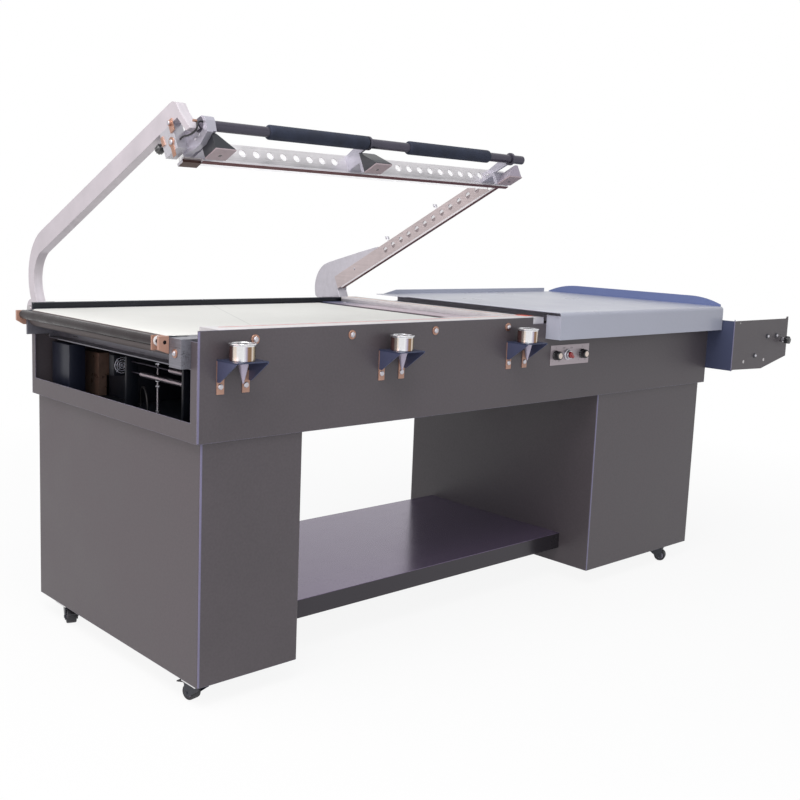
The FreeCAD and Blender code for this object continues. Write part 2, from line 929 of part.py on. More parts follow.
def make_roller_brackets():
    """Plates that hold the transfer roller beyond the end of the bed."""
    wall = S.bracket_thickness
    start, end = S.bracket_start, S.bracket_end
    top = S.side_high - 1
    shaft = S.transfer_shaft + S.bore_gap
    low = S.bracket_low
    toe, waist, crown = low + S.bracket_toe, start + S.bracket_waist, top + S.bracket_crown
    corners = [(start, toe), (waist, low), (end, low), (end, top), (waist, crown), (start, crown)]
    front = plate("front_roller_plate", "xz", corners, wall, (0, SIDE_REAR, BASE))
    spot = (S.transfer_x, SIDE_REAR - 1, BASE + S.transfer_height)
    bores = [
        rod("front_transfer_bore", "y", spot, shaft, wall + 2),
        rod("front_drive_bore", "y", (S.drive_x, SIDE_REAR - 1, ROLLER_Z), BORE + 1, wall + 2),
    ]
    front = cut("front_roller_bracket", front, *bores)

    # a slotted angle close to the roller's front end
    leg_y, steel = S.transfer_front - 8, S.sheet_wall
    angle_low, angle_end = BASE + low + 8, start + 2 + S.angle_width
    angle_top = angle_low + S.angle_tall
    leg = block("angle_leg", (start + 2, leg_y, angle_low), (angle_end, leg_y + steel, angle_top))
    foot = block("angle_foot", (angle_end - steel, SIDE_REAR + wall, angle_low), (angle_end, leg_y, angle_top))
    hole = rod("angle_bore", "y", (S.transfer_x, leg_y - 1, BASE + S.transfer_height), shaft, steel + 2)
    angle = cut("slotted_angle", fused("angle", leg, foot), hole)

    rear_y = S.rear_side + S.rear_side_plate
    heel = waist - 3
    corners = [(start, toe), (heel - 11, low), (heel, low), (heel, top), (start, top)]
    rear = plate("rear_roller_plate", "xz", corners, wall, (0, rear_y, BASE))
    bore = rod("rear_transfer_bore", "y", (S.transfer_x, rear_y - 1, BASE + S.transfer_height), shaft, wall + 2)
    node("roller_brackets", front, angle, cut("rear_roller_bracket", rear, bore))


def make_drive():
    """The gear motor on the pan, and the chain from its sprocket up to the drive roller."""
    half = S.motor_width / 2
    x, z = S.motor_x, BASE + S.motor_height
    low = BASE + S.pan_sheet
    motor_front = S.motor_rear - S.motor_length
    case = block(
        "gear_case",
        (x - half, motor_front, z - S.motor_tall / 2),
        (x + half, S.motor_rear, z + S.motor_tall / 2),
    )
    feet = [
        block("motor_foot_%d" % count, (left, motor_front, low), (left + 25, S.motor_rear, z - S.motor_tall / 2))
        for count, left in enumerate((x - half, x + half - 25), 1)
    ]
    shaft = rod("motor_shaft", "y", (x, S.motor_rear, z), 7, S.chain_front + S.chain_width - S.motor_rear)
    sprocket = rod("motor_sprocket", "y", (x, S.chain_front, z), S.sprocket_radius, S.chain_width)
    node("gear_motor", fused("gear_motor_whole", case, shaft, sprocket, *feet))

    # the chain hugs both sprockets at the running gap, along the line between their centres
    run, rise = x - S.drive_x, z - ROLLER_Z
    reach, tilt = span(run, rise), slope(run, rise)
    loops = []
    for name, radius, grow in (
        ("chain_outside", S.sprocket_radius + S.running_gap + S.chain_thickness, 0),
        ("chain_inside", S.sprocket_radius + S.running_gap, 1),
    ):
        front = S.chain_front - grow
        width = S.chain_width + 2 * grow
        flat = block(name + "_run", (0, front, -radius), (reach, front + width, radius))
        near = rod(name + "_near", "y", (0, front, 0), radius, width)
        far = rod(name + "_far", "y", (reach, front, 0), radius, width)
        loops.append(fused(name, flat, near, far))
    chain = cut("chain", *loops)
    chain.Placement = Placement(Vector(), Rotation(Vector(0, 1, 0), 20))
    bind(chain, "Placement.Rotation.Angle", -tilt)
    node("drive_chain", put(chain, (S.drive_x, 0, ROLLER_Z)))


def make_control_box():
    """The control cabinet with its fan guard, and the relay box near the open end."""
    low = BASE + S.pan_sheet
    x = S.control_x
    case = block(
        "control_case",
        (x, S.control_front, low),
        (x + S.control_length, S.control_rear, BASE + S.control_height),
    )
    spot = (x - 1, S.fan_front, BASE + S.fan_height)
    fan_hole = rod("fan_hole", "x", spot, S.fan_radius, 12)
    guard = []
    ring_wall = 1.5
    for count, share in enumerate((1, 0.68, 0.36), 1):
        radius = (S.fan_radius + 1) * share
        outer = rod("guard_ring_%d" % count, "x", (x - 2, S.fan_front, BASE + S.fan_height), radius, 2)
        inner = rod("guard_gap_%d" % count, "x", (x - 3, S.fan_front, BASE + S.fan_height), radius - ring_wall, 4)
        guard.append(cut("guard_wire_%d" % count, outer, inner))
    reach = S.fan_radius + 4
    z = BASE + S.fan_height
    guard.append(block("guard_spoke_level", (x - 2, S.fan_front - reach, z - 1), (x, S.fan_front + reach, z + 1)))
    guard.append(block("guard_spoke_upright", (x - 2, S.fan_front - 1, z - reach), (x, S.fan_front + 1, z + reach)))
    relay = block(
        "relay_box",
        (S.relay_x, S.relay_rear - S.relay_depth, low),
        (S.relay_x + S.relay_length, S.relay_rear, BASE + S.control_height),
    )
    node("control_box", cut("control_case_cut", case, fan_hole), fused("fan_guard", *guard), relay)


def make_rails_and_pads():
    """Rear and side guide rails, the seal pads, and the channels and blocks that hold them."""
    wall = S.rail_wall
    top = LOW_TOP + S.rail_height
    rear = S.frame_depth
    corners = [
        (rear - wall, 0),
        (rear, 0),
        (rear, S.rail_height),
        (rear - S.rail_width, S.rail_height),
        (rear - S.rail_width, S.rail_height - wall),
        (rear - wall, S.rail_height - wall),
    ]
    rear_rail = plate("rear_rail", "yz", corners, S.panel_step, (0, 0, LOW_TOP))
    side_rail = block(
        "side_rail",
        (S.side_rail_start, S.belt_front, BASE + S.belt_height + S.running_gap),
        (S.side_rail_end, S.side_pad_rear, BASE + S.side_rail_height),
    )
    rail_foot = block(
        "side_rail_foot",
        (S.end_member_start, S.belt_front, BASE + S.side_high),
        (S.side_rail_end, S.rear_side, BASE + S.side_rail_height),
    )
    node("belt_rails", rear_rail, fused("side_rail_whole", side_rail, rail_foot))

    holder_low = BASE + S.side_high
    wall = S.sheet_wall
    first, last = S.pad_start, S.pad_end
    front_holder = block("front_pad_holder", (first, wall, holder_low), (last, S.pad_rear, PAD_LOW))
    side_first, side_last = S.side_pad_start, S.bed_end
    side_holder = block(
        "side_pad_holder",
        (side_first, S.pad_rear, holder_low),
        (side_last, S.side_pad_rear, PAD_LOW),
    )
    block_length = S.pad_block_length
    ends = [
        block("pad_end_block_%d" % count, (x, wall + 1, PAD_LOW), (x + block_length, S.pad_rear, PAD_TOP))
        for count, x in enumerate((first, last - block_length), 1)
    ]
    node("pad_clamps", front_holder, side_holder, *ends)

    front_pad = block(
        "front_pad",
        (first + block_length, wall + 1, PAD_LOW),
        (last - block_length, S.pad_rear, PAD_TOP),
    )
    side_pad = block("side_pad", (side_first, S.pad_rear, PAD_LOW), (side_last, S.side_pad_rear, PAD_TOP))
    node("seal_pads", front_pad, side_pad)


def make_magnet_brackets():
    """Folded brackets on the front panel: shelf, two gussets, and slotted tabs turned inwards."""
    wall = S.gusset_wall
    top = S.shelf_plate_height
    brackets = []
    for name, x in CATCHES:
        shelf = block(
            name + "_shelf",
            (x, -S.bracket_reach, BASE + top - wall),
            (x + S.catch_width, 0, BASE + top),
        )
        pieces = [shelf]
        slots = []
        corners = [
            (-S.bracket_reach, top - wall - 2),
            (-12, S.bracket_foot),
            (0, S.bracket_foot),
            (0, top - 1),
            (-S.bracket_reach, top - 1),
        ]
        for side, gusset_x in (("left", x), ("right", x + S.catch_width - wall)):
            gusset = plate("%s_%s_gusset" % (name, side), "yz", corners, wall, (gusset_x, 0, BASE))
            tab_x = gusset_x if side == "left" else gusset_x + wall - S.tab_width
            tab = block(
                "%s_%s_tab" % (name, side),
                (tab_x, -S.tab_wall, BASE + S.tab_low),
                (tab_x + S.tab_width, 0, BASE + S.tab_high),
            )
            middle = tab_x + S.tab_width / 2
            spot = (middle, -S.tab_wall - 1, BASE + S.tab_bolt_height)
            slots.append(rod("%s_%s_slot" % (name, side), "y", spot, S.slot_radius, S.tab_wall + 2))
            pieces += [gusset, tab]
        brackets.append(cut(name + "_magnet_bracket", fused(name + "_bracket_folded", *pieces), *slots))
    node("magnet_brackets", *brackets)


def make_magnets():
    """A round magnet in a flared cup on each bracket, with its tapered stud below the shelf."""
    height = S.magnet_top - S.shelf_plate_height
    radius, rim = S.magnet_radius, S.magnet_rim
    deep = height - S.magnet_recess
    cup_corners = [
        (0, 0),
        (radius - 2, 0),
        (radius, 2),
        (radius, height - 3),
        (rim, height - 1),
        (rim, height),
        (S.magnet_bore, height),
        (S.magnet_bore, deep),
        (S.magnet_pole, deep),
        (S.magnet_pole, height - 1),
        (0, height - 1),
    ]
    stud = S.stud_radius
    drop = S.shelf_plate_height - S.gusset_wall - S.stud_low
    stud_corners = [(0, 0), (2, 0), (5, 4), (stud, drop - 6), (stud, drop), (0, drop)]
    pieces = []
    for name, x in CATCHES:
        middle = x + S.magnet_from_gusset
        spot = (middle, -S.magnet_offset, BASE + S.shelf_plate_height)
        pieces.append(turned(name + "_magnet_cup", "z", spot, cup_corners))
        low = (middle + 3, -S.magnet_offset, BASE + S.stud_low)
        pieces.append(turned(name + "_magnet_stud", "z", low, stud_corners))
    node("magnets", *pieces)


def make_tray():
    """The product tray with its bull-nosed front skirt, on two cross bearers."""
    wall = S.tray_sheet
    top = BASE + S.tray_height
    start, end = S.tray_start, S.tray_end
    front, rear = S.tray_front, S.tray_rear
    corners = [
        (start, front),
        (end, front),
        (end, rear),
        (S.tray_tongue, rear),
        (S.tray_tongue, S.tongue_front),
        (start, S.tongue_front),
    ]
    table = plate("tray_table", "xy", corners, wall, (0, 0, top - wall))
    skirt = block("tray_skirt", (S.skirt_start, front, BASE + S.skirt_low), (end, front + wall, top))
    flange = block("tray_end_flange", (end - wall, front, BASE + S.end_flange_low), (end, rear, top))
    fold = block(
        "tray_left_return",
        (S.skirt_start, front, BASE + S.skirt_low),
        (S.skirt_start + wall, 0, top - S.return_drop),
    )
    body = doc.addObject("PartDesign::Body", "tray_folded")
    body.BaseFeature = fused("tray_welded", table, skirt, flange, fold)
    doc.recompute()
    body.Tip = body.Group[0]
    bend, inside = S.tray_bend, S.tray_bend - wall

    def outer_bend(edge):
        """Whether an edge is the outer corner between the table and the skirt."""
        middle = edge.BoundBox.Center
        long_edge = edge.BoundBox.XLength > half_length
        return long_edge and abs(middle.y - front_value) < 0.01 and abs(middle.z - top_value) < 0.01

    def inner_bend(edge):
        """Whether an edge is the inner corner between the table and the skirt."""
        middle = edge.BoundBox.Center
        long_edge = edge.BoundBox.XLength > half_length
        near_y = abs(middle.y - front_value - number(wall)) < 0.01
        return long_edge and near_y and abs(middle.z - top_value + number(wall)) < 0.01

    front_value, top_value = number(front), number(top)
    half_length = number(end - start) / 2
    round_edges(body, inside, inner_bend)
    round_edges(body, bend, outer_bend)
    bearers = []
    tall = S.tray_height - wall - S.panel_low
    width, steel = S.bearer_width, S.cross_wall
    section = [
        (0, 0),
        (steel, 0),
        (steel, tall - steel),
        (width - steel, tall - steel),
        (width - steel, 0),
        (width, 0),
        (width, tall),
        (0, tall),
    ]
    for count, x in enumerate((S.bearer_first, S.bearer_second), 1):
        bearers.append(plate("tray_bearer_%d" % count, "xz", section, rear, (x, 0, LOW_TOP)))
    node("product_tray", body, *bearers)

    # the rear lip stands behind the table's rear edge, so the table's face stays flat
    sheet_wall = S.sheet_wall
    height, slant = wall + S.lip_height, S.lip_slant
    length = S.lip_end - S.lip_start
    corners = [(0, 0), (length, 0), (length, height), (slant, height), (0, wall)]
    rear_lip = plate("rear_lip", "xz", corners, sheet_wall, (S.lip_start, rear, top - wall))
    crown, foot = S.end_lip_crown, S.panel_low + 1
    front_run, front_drop = S.end_lip_crown_front - S.end_lip_front, crown - S.end_lip_low
    rear_run, rear_drop = S.tray_rear - S.end_lip_crown_rear, crown - S.end_lip_tail
    corners = [
        (S.end_lip_front, foot),
        (S.tray_rear, foot),
        (S.tray_rear, S.end_lip_tail),
        (S.end_lip_crown_rear, crown, level_radius(rear_run, rear_drop)),
        (S.end_lip_crown_front, crown),
        (S.end_lip_front, S.end_lip_low, level_radius(front_run, front_drop)),
    ]
    end_lip = plate("end_lip", "yz", corners, sheet_wall, (S.tray_end, 0, BASE))
    node("tray_lips", rear_lip, end_lip)


def make_controls():
    """The control plate and its three knobs, each on a spindle through the plate."""
    wall = S.plate_thickness
    low = BASE + S.plate_low
    start = S.plate_start
    face = block("control_face", (start, -wall, low), (start + S.plate_length, 0, low + S.plate_tall))
    z = BASE + S.knob_height
    bore = S.spindle_radius + S.bore_gap
    spots = (("timer_knob", S.timer_x), ("mode_selector", S.mode_x), ("heat_knob", S.heat_x))
    bores = [rod(name + "_bore", "y", (x, -wall - 1, z), bore, wall + 2) for name, x in spots]
    node("control_plate", cut("control_face_drilled", face, *bores))

    gap = S.running_gap
    radius, length = S.knob_radius, S.knob_length
    for name, x in spots:
        spindle = S.spindle_radius
        if name == "mode_selector":
            flare = S.bezel_radius
            corners = [
                (0, 0),
                (S.lever_radius, 0),
                (S.lever_radius, S.lever_length - 2),
                (S.lever_radius + 2, S.lever_length),
                (flare, S.lever_length),
                (flare, S.lever_length + S.bezel_length),
                (spindle, S.lever_length + S.bezel_length),
                (spindle, S.lever_length + S.bezel_length + S.spindle_length),
                (0, S.lever_length + S.bezel_length + S.spindle_length),
            ]
            reach = S.lever_length + S.bezel_length
        else:
            corners = [
                (0, 0),
                (radius - 3, 0),
                (radius - 1.5, 1.5),
                (radius, length - 2),
                (radius, length),
                (spindle, length),
                (spindle, length + S.spindle_length),
                (0, length + S.spindle_length),
            ]
            reach = length
        knob = turned(name + "_turned", "y", (x, -wall - gap - reach, z), corners)
        if name == "mode_selector":
            cheek = 5
            tall = S.lever_radius * 2
            start_y = -wall - gap - reach - 1
            cheeks = [
                block(
                    "lever_cheek_%d" % count,
                    (x + side, start_y, z - tall),
                    (x + side + cheek, start_y + S.lever_length - 3, z + tall),
                )
                for count, side in enumerate((-3 - cheek, 3), 1)
            ]
            knob = cut("mode_lever", knob, *cheeks)
        else:
            groove = block(
                name + "_groove",
                (x - 0.8, -wall - gap - reach - 1, z + 3),
                (x + 0.8, -wall - gap - reach + 1, z + radius),
            )
            knob = cut(name + "_marked", knob, groove)
        node(name, knob)


def make_cradle():
    """The film cradle: two folded side brackets, two rollers between them and the lock knob."""
    wall = S.cradle_sheet
    start = S.frame_length
    top, foot = S.cradle_top, S.cradle_foot
    end = S.cradle_end
    corners = [
        (start, foot),
        (start + 15, foot + 3),
        (end - 180, foot - 3),
        (end, foot + 36),
        (end - 2, top + 7),
        (end - 10, top + 7),
        (end - 16, top),
        (start, top),
    ]
    axles = (("cradle_roller_inner", S.cradle_inner_x), ("cradle_roller_outer", S.cradle_outer_x))
    z = BASE + S.cradle_axle_height
    sides = []
    for name, y, flange_start in (("front", CRADLE_FRONT_FACE, S.cradle_front), ("rear", S.cradle_rear, None)):
        face = plate(name + "_cradle_face", "xz", corners, wall, (0, y, BASE))
        if flange_start is None:
            low_y, high_y = y, y + S.cradle_flange
        else:
            low_y, high_y = y, S.cradle_flange
        flange = block(
            name + "_cradle_flange",
            (start, low_y, BASE + foot),
            (start + wall, high_y, BASE + top),
        )
        bores = [
            rod("%s_%s_bore" % (name, axle), "y", (x, y - 1, z), S.cradle_axle + S.bore_gap, wall + 2)
            for axle, x in axles
        ]
        spot = (S.cradle_knob_x, y - 1, BASE + S.cradle_knob_height)
        bores.append(rod(name + "_knob_bore", "y", spot, S.cradle_stud + S.bore_gap, wall + 2))
        spot = (start + 46, y - 1, BASE + top - 8)
        bores.append(rod(name + "_cradle_slot", "y", spot, 4, wall + 2))
        sides.append(cut(name + "_cradle_side", fused(name + "_cradle_folded", face, flange), *bores))
    node("cradle_brackets", *sides)

    length = S.cradle_rear - S.cradle_front
    gap = S.cradle_side_gap
    axle, radius = S.cradle_axle, S.cradle_roller
    for name, x in axles:
        corners = [
            (0, 0),
            (axle, 0),
            (axle, wall + gap),
            (radius - 2, wall + gap),
            (radius, wall + gap + 2),
            (radius, wall + length - gap - 2),
            (radius - 2, wall + length - gap),
            (axle, wall + length - gap),
            (axle, 2 * wall + length),
            (0, 2 * wall + length),
        ]
        node(name, turned(name + "_steel", "y", (x, CRADLE_FRONT_FACE, z), corners))

    # a five-lobed knob whose screw passes the front bracket
    x, z = S.cradle_knob_x, BASE + S.cradle_knob_height
    radius = S.cradle_knob_radius
    face = CRADLE_FRONT_FACE - S.running_gap
    reach = face - KNOB_FRONT
    hub = rod("cradle_knob_hub", "y", (x, KNOB_FRONT, z), radius, reach * 0.6)
    neck = rod("cradle_knob_neck", "y", (x, KNOB_FRONT, z), radius * 0.6, reach)
    screw = rod("cradle_knob_screw", "y", (x, KNOB_FRONT, z), S.cradle_stud, reach + wall + 12)
    lobes = []
    for count in range(5):
        turn = math.radians(72 * count)
        spot = (x + radius * round(math.sin(turn), 4), KNOB_FRONT, z + radius * round(math.cos(turn), 4))
        lobes.append(rod("cradle_knob_lobe_%d" % (count + 1), "y", spot, radius * 0.42, reach * 0.6))
    node("cradle_knob", fused("cradle_knob_whole", hub, neck, screw, *lobes))


def make_bearings():
    """Bearing blocks for the hinge shaft, bolted to the rear panel."""
    rear, y, z = S.frame_depth, S.hinge_y, S.hinge_height
    radius = S.bearing_radius
    blocks = []
    for count, x in enumerate((S.bearing_first, S.bearing_second), 1):
        corners = [
            (rear, z - radius * 2.4),
            (rear + S.bearing_foot, z - radius * 2.4),
            (rear + S.bearing_foot, z - radius * 1.5),
            (y, z - radius),
            (y, z + radius),
            (rear, z + radius * 0.5),
        ]
        cheek = plate("bearing_cheek_%d" % count, "yz", corners, S.bearing_width, (x, 0, BASE))
        nose = rod("bearing_nose_%d" % count, "x", (x, y, HINGE_Z), radius, S.bearing_width)
        bore_radius = S.hinge_shaft_radius + S.bore_gap
        bore = rod("bearing_bore_%d" % count, "x", (x - 1, y, HINGE_Z), bore_radius, S.bearing_width + 2)
        blocks.append(cut("bearing_%d" % count, fused("bearing_cast_%d" % count, cheek, nose), bore))
    node("bearing_blocks", *blocks)


def make_springs():
    """Balance springs of the sealing head, with their anchors, pull rods and threaded post."""
    low = BASE + S.pan_sheet
    x, wall = S.spring_x, S.spring_wall
    front, rear = S.spring_front, S.spring_rear
    width = S.anchor_width
    anchors = [
        block("spring_anchor_front", (x - width / 2, front - wall, low), (x + width / 2, front, low + S.anchor_height)),
        block("spring_anchor_rear", (x - width / 2, rear, low), (x + width / 2, rear + wall, low + S.anchor_height)),
    ]
    pieces = anchors
    for name, height, length in (
        ("upper", S.upper_spring_height, S.upper_spring_length),
        ("lower", S.lower_spring_height, S.lower_spring_length),
    ):
        radius, thin = S.spring_radius, S.pull_rod_radius
        corners = [
            (0, 0),
            (thin, 0),
            (thin, 8),
            (radius, 12),
            (radius, length - 4),
            (thin, length),
            (thin, rear - front),
            (0, rear - front),
        ]
        pieces.append(turned(name + "_spring", "y", (x, front, BASE + height), corners))
    post_x = x + S.spring_radius * 2
    post = rod("threaded_post", "z", (post_x, S.post_y, low), S.pull_rod_radius, S.anchor_height)
    nuts = [
        rod("post_nut_%d" % count, "z", (post_x, S.post_y, low + height), S.pull_rod_radius * 2, 5)
        for count, height in enumerate((0, S.anchor_height * 0.55, S.anchor_height - 12), 1)
    ]
    node("balance_springs", *pieces, fused("threaded_post_nuts", post, *nuts))


def tube(name, points, radius):
    """A round lead along straight runs joined by arcs as large as the runs allow."""
    spots = [Vector(*point) for point in points]
    edges = []
    start = spots[0]
    for before, corner, after in zip(spots, spots[1:], spots[2:]):
        into, out = corner - before, after - corner
        shorter = min(into.Length, out.Length)
        way_in, way_out = Vector(into).normalize(), Vector(out).normalize()
        turn = way_in.getAngle(way_out)
        setback = 0.45 * shorter
        print("%s arc radius %.1f" % (name, setback / math.tan(turn / 2)))
        first = corner - way_in * setback
        last = corner + way_out * setback
        bulge = (way_out - way_in).normalize()
        arc_radius = setback / math.tan(turn / 2)
        centre = corner + bulge * (arc_radius / math.cos(turn / 2))
        middle = centre - bulge * arc_radius
        edges.append(Part.LineSegment(start, first).toShape())
        edges.append(Part.Arc(first, middle, last).toShape())
        start = last
    edges.append(Part.LineSegment(start, spots[-1]).toShape())
    path = Part.Wire(edges)
    section = Part.Wire([Part.Circle(spots[0], spots[1] - spots[0], radius).toShape()])
    sweep = path.makePipeShell([section], True, True)
    print("%s volume against section times length %.4f" % (
        name, sweep.Volume / (math.pi * radius ** 2 * path.Length)))
    thing = doc.addObject("Part::Feature", name)
    thing.Shape = sweep
    return thing


def make_leads():
    """The short leads that show under the frame and inside its open end."""
    base = SIZES["frame_base"]
    wall = SIZES["left_pedestal_end"]
    inner = number(S.right_pedestal_start)
    radius = SIZES["lead_radius"]
    pan = base + SIZES["pan_sheet"]
    behind = number(S.control_front) - 40
    loop = tube(
        "pedestal_loop",
        [(wall + 20, 52, base), (wall + 20, 52, base - 20), (wall + 16, 50, base - 42), (wall, 50, base - 42)],
        radius,
    )
    swag = tube(
        "pedestal_swag",
        [
            (inner - 160, behind, base),
            (inner - 160, behind, base - 30),
            (inner - 126, behind - 10, base - 62),
            (inner - 76, behind - 20, base - 68),
            (inner - 34, behind - 24, base - 57),
            (inner, behind - 24, base - 57),
        ],
        radius,
    )
    arc = tube(
        "chamber_lead",
        [
            (150, behind, pan),
            (150, behind, pan + 32),
            (136, behind - 30, pan + 58),
            (120, behind - 72, pan + 62),
            (110, behind - 105, pan + 40),
            (110, behind - 105, pan),
        ],
        radius * 0.75,
    )
    for lead in (loop, swag, arc):
        lead.Placement = Placement()
    node("lower_leads", loop, swag, arc)


def bolt(name, axis, where, outwards, radius, head, washer=True):
    """A bolt head, with its washer, seated on a face; outwards is +1 or -1 along its axis."""
    x, y, z = where
    sizes = [(S.washer_thickness, radius * 1.5)] if washer else []
    sizes.append((head, radius))
    pieces = []
    rise = 0
    for count, (thick, wide) in enumerate(sizes, 1):
        offset = rise if outwards > 0 else -rise - thick
        spot = {"x": (x + offset, y, z), "y": (x, y + offset, z), "z": (x, y, z + offset)}[axis]
        pieces.append(rod("%s_step_%d" % (name, count), axis, spot, wide, thick))
        rise = rise + thick
    return fused(name, *pieces) if len(pieces) > 1 else pieces[0]


def make_bolts():
    """The machine's visible fasteners, as one group of separate solids."""
    bolts = []
    z = BASE + S.panel_bolt_height
    for count in range(1, 5):
        x = S.panel_bolt_first + S.panel_bolt_pitch * (count - 1)
        bolts.append(bolt("panel_bolt_%d" % count, "y", (x, 0, z), -1, S.bolt_radius, S.bolt_head))
    z = BASE + S.tab_bolt_height
    for name, x in CATCHES:
        for side, tab_x in (("left", x), ("right", x + S.catch_width - S.tab_width)):
            spot = (tab_x + S.tab_width / 2, -S.tab_wall, z)
            bolts.append(bolt("%s_%s_tab_bolt" % (name, side), "y", spot, -1, S.tab_bolt_radius, 4, False))
    # feet of the bearing blocks
    for count, x in enumerate((S.bearing_first, S.bearing_second), 1):
        spot = (x + S.bearing_width / 2, S.frame_depth + S.bearing_foot, HINGE_Z - S.bearing_radius * 1.95)
        bolts.append(bolt("bearing_bolt_%d" % count, "y", spot, 1, 6, 4, False))
    # cradle brackets: three heads on the front face, and two in each flange
    y = CRADLE_FRONT_FACE
    end = S.frame_length
    heads = (
        (S.cradle_bolt_reach, S.cradle_bolt_height),
        (S.cradle_pin_reach, S.cradle_pin_height),
        (S.cradle_stud_reach, S.cradle_bolt_height),
    )
    for count, (reach, height) in enumerate(heads, 1):
        spot = (end + reach, y, BASE + height)
        bolts.append(bolt("cradle_bolt_%d" % count, "y", spot, -1, 6, 6))
    x = end + S.cradle_sheet
    low, high = S.cradle_foot + S.flange_bolt_inset, S.cradle_top - S.flange_bolt_inset
    middles = (S.cradle_flange / 2, S.cradle_rear + S.cradle_flange / 2)
    for count, (y, height) in enumerate([(y, height) for y in middles for height in (low, high)], 1):
        bolts.append(bolt("flange_bolt_%d" % count, "x", (x, y, BASE + height), 1, 6, 5))
    # cable glands under the frame and on the side box, and the screws of the guide rails
    x = S.bed_start
    bolts.append(bolt("side_box_bolt", "x", (x, S.side_front + S.side_width / 2, BASE + S.side_bolt_height), -1, 7, 4))
    rail_top = LOW_TOP + S.rail_height
    y = S.frame_depth - S.rail_screw_inset
    for count in range(1, 4):
        x = S.rail_screw_first + S.rail_screw_pitch * (count - 1)
        bolts.append(bolt("rear_rail_screw_%d" % count, "z", (x, y, rail_top), 1, 4, 2, False))
    side_top = BASE + S.side_rail_height
    x = S.side_rail_end - 25
    for count, y in enumerate((S.belt_front + 55, S.belt_rear - 45), 1):
        bolts.append(bolt("side_rail_screw_%d" % count, "z", (x, y, side_top), 1, 5, 2, False))
    node("machine_bolts", *bolts)


def head_plate(name, corners, thickness, x):
    """A plate of the sealing head from points given as reach to the front and height.

    Its arcs are taken with the points in clockwise order of reach and height.
    """
    flipped = [(-corner[0],) + tuple(corner[1:]) for corner in corners]
    return plate(name, "yz", flipped, thickness, (x, 0, 0))


def head_block(name, start, end, rear, front, low, high):
    """A box of the sealing head: x from start to end, reach from rear to front, height."""
    return block(name, (start, -front, low), (end, -rear, high))


def head_rod(name, axis, x, reach, height, radius, length):
    """A round bar of the sealing head from the middle of its first end."""
    return rod(name, axis, (x, -reach, height), radius, length)


def arm_under(reach):
    """Height of the left arm's lower edge at a reach from the hinge."""
    fall = S.arm_under_rear - S.arm_under_front
    return S.arm_under_rear - fall * (reach - S.arm_knee) / (S.arm_front - S.arm_knee)


def make_arms():
    """The long left arm of aluminium bar and the cast right arm, on the hinge shaft."""
    top_rear = S.arm_under_rear + S.arm_depth_rear
    top_front = S.arm_under_front + S.arm_depth_front
    leg, leg_rear, leg_top = S.arm_leg_front, S.arm_leg_rear, S.arm_leg_top
    fit = S.hinge_shaft_radius + S.bore_gap
    inner = level_radius(S.arm_under_rear - leg_top, S.arm_knee - leg)
    outer = level_radius(top_rear - leg_top, S.arm_elbow - leg_rear)
    corners = [
        (leg_rear, -10),
        (leg_rear, leg_top),
        (S.arm_elbow, top_rear, outer),
        (S.arm_front - 14, top_front),
        (S.arm_front - 3, top_front - 2),
        (S.arm_front + 9, top_front - 11),
        (S.arm_front + 15, top_front - 38),
        (S.arm_front + 39, 58),
        (S.arm_front + 20, 61),
        (S.arm_front, S.arm_under_front),
        (S.arm_knee, S.arm_under_rear),
        (leg, leg_top, -inner),
        (leg, -10),
    ]
    bar = head_plate("left_arm_bar", corners, S.left_arm_width, S.left_arm_start)
    boss = head_rod("left_arm_boss", "x", S.left_arm_start, 0, 0, S.boss_radius, S.left_arm_width)
    bore = head_rod("left_arm_bore", "x", S.left_arm_start - 1, 0, 0, fit, S.left_arm_width + 2)
    node("left_arm", cut("left_arm_whole", fused("left_arm_bossed", bar, boss), bore), frame="head")

    start = S.bar_end - S.right_arm_width
    seat = S.bar_high
    corners = [
        (-26, -14),
        (-S.tail_reach, S.tail_height),
        (S.shoulder_reach, S.shoulder_height + SHOULDER, SHOULDER),
        (39, seat + 62),
        (121, seat + 45),
        (216, seat + 25),
        (S.right_arm_front, seat + 7),
        (S.right_arm_front, seat),
        (S.side_bar_rear, seat),
        (S.side_bar_rear, S.bar_low + 10),
        (S.arm_leg_front, leg_top),
        (S.arm_leg_front, 0),
        (26, -14),
    ]
    casting = head_plate("right_arm_casting", corners, S.right_arm_width, start)
    boss = head_rod("right_arm_boss", "x", start, 0, 0, S.boss_radius, S.right_arm_width)
    bore = head_rod("right_arm_bore", "x", start - 1, 0, 0, fit, S.right_arm_width + 2)
    node("right_arm", cut("right_arm_whole", fused("right_arm_bossed", casting, boss), bore), frame="head")

    first, last = S.hinge_shaft_start, S.hinge_shaft_end
    shaft = head_rod("hinge_bar", "x", first, 0, 0, S.hinge_shaft_radius, last - first)
    collar_x = S.bearing_first + S.bearing_width + S.running_gap
    collar = head_rod("hinge_collar_left", "x", collar_x, 0, 0, S.hinge_shaft_radius + 6, 12)
    other_x = S.bearing_second - S.running_gap - 12
    other = head_rod("hinge_collar_right", "x", other_x, 0, 0, S.hinge_shaft_radius + 6, 12)
    node("hinge_shaft", fused("hinge_shaft_whole", shaft, collar, other), frame="head")


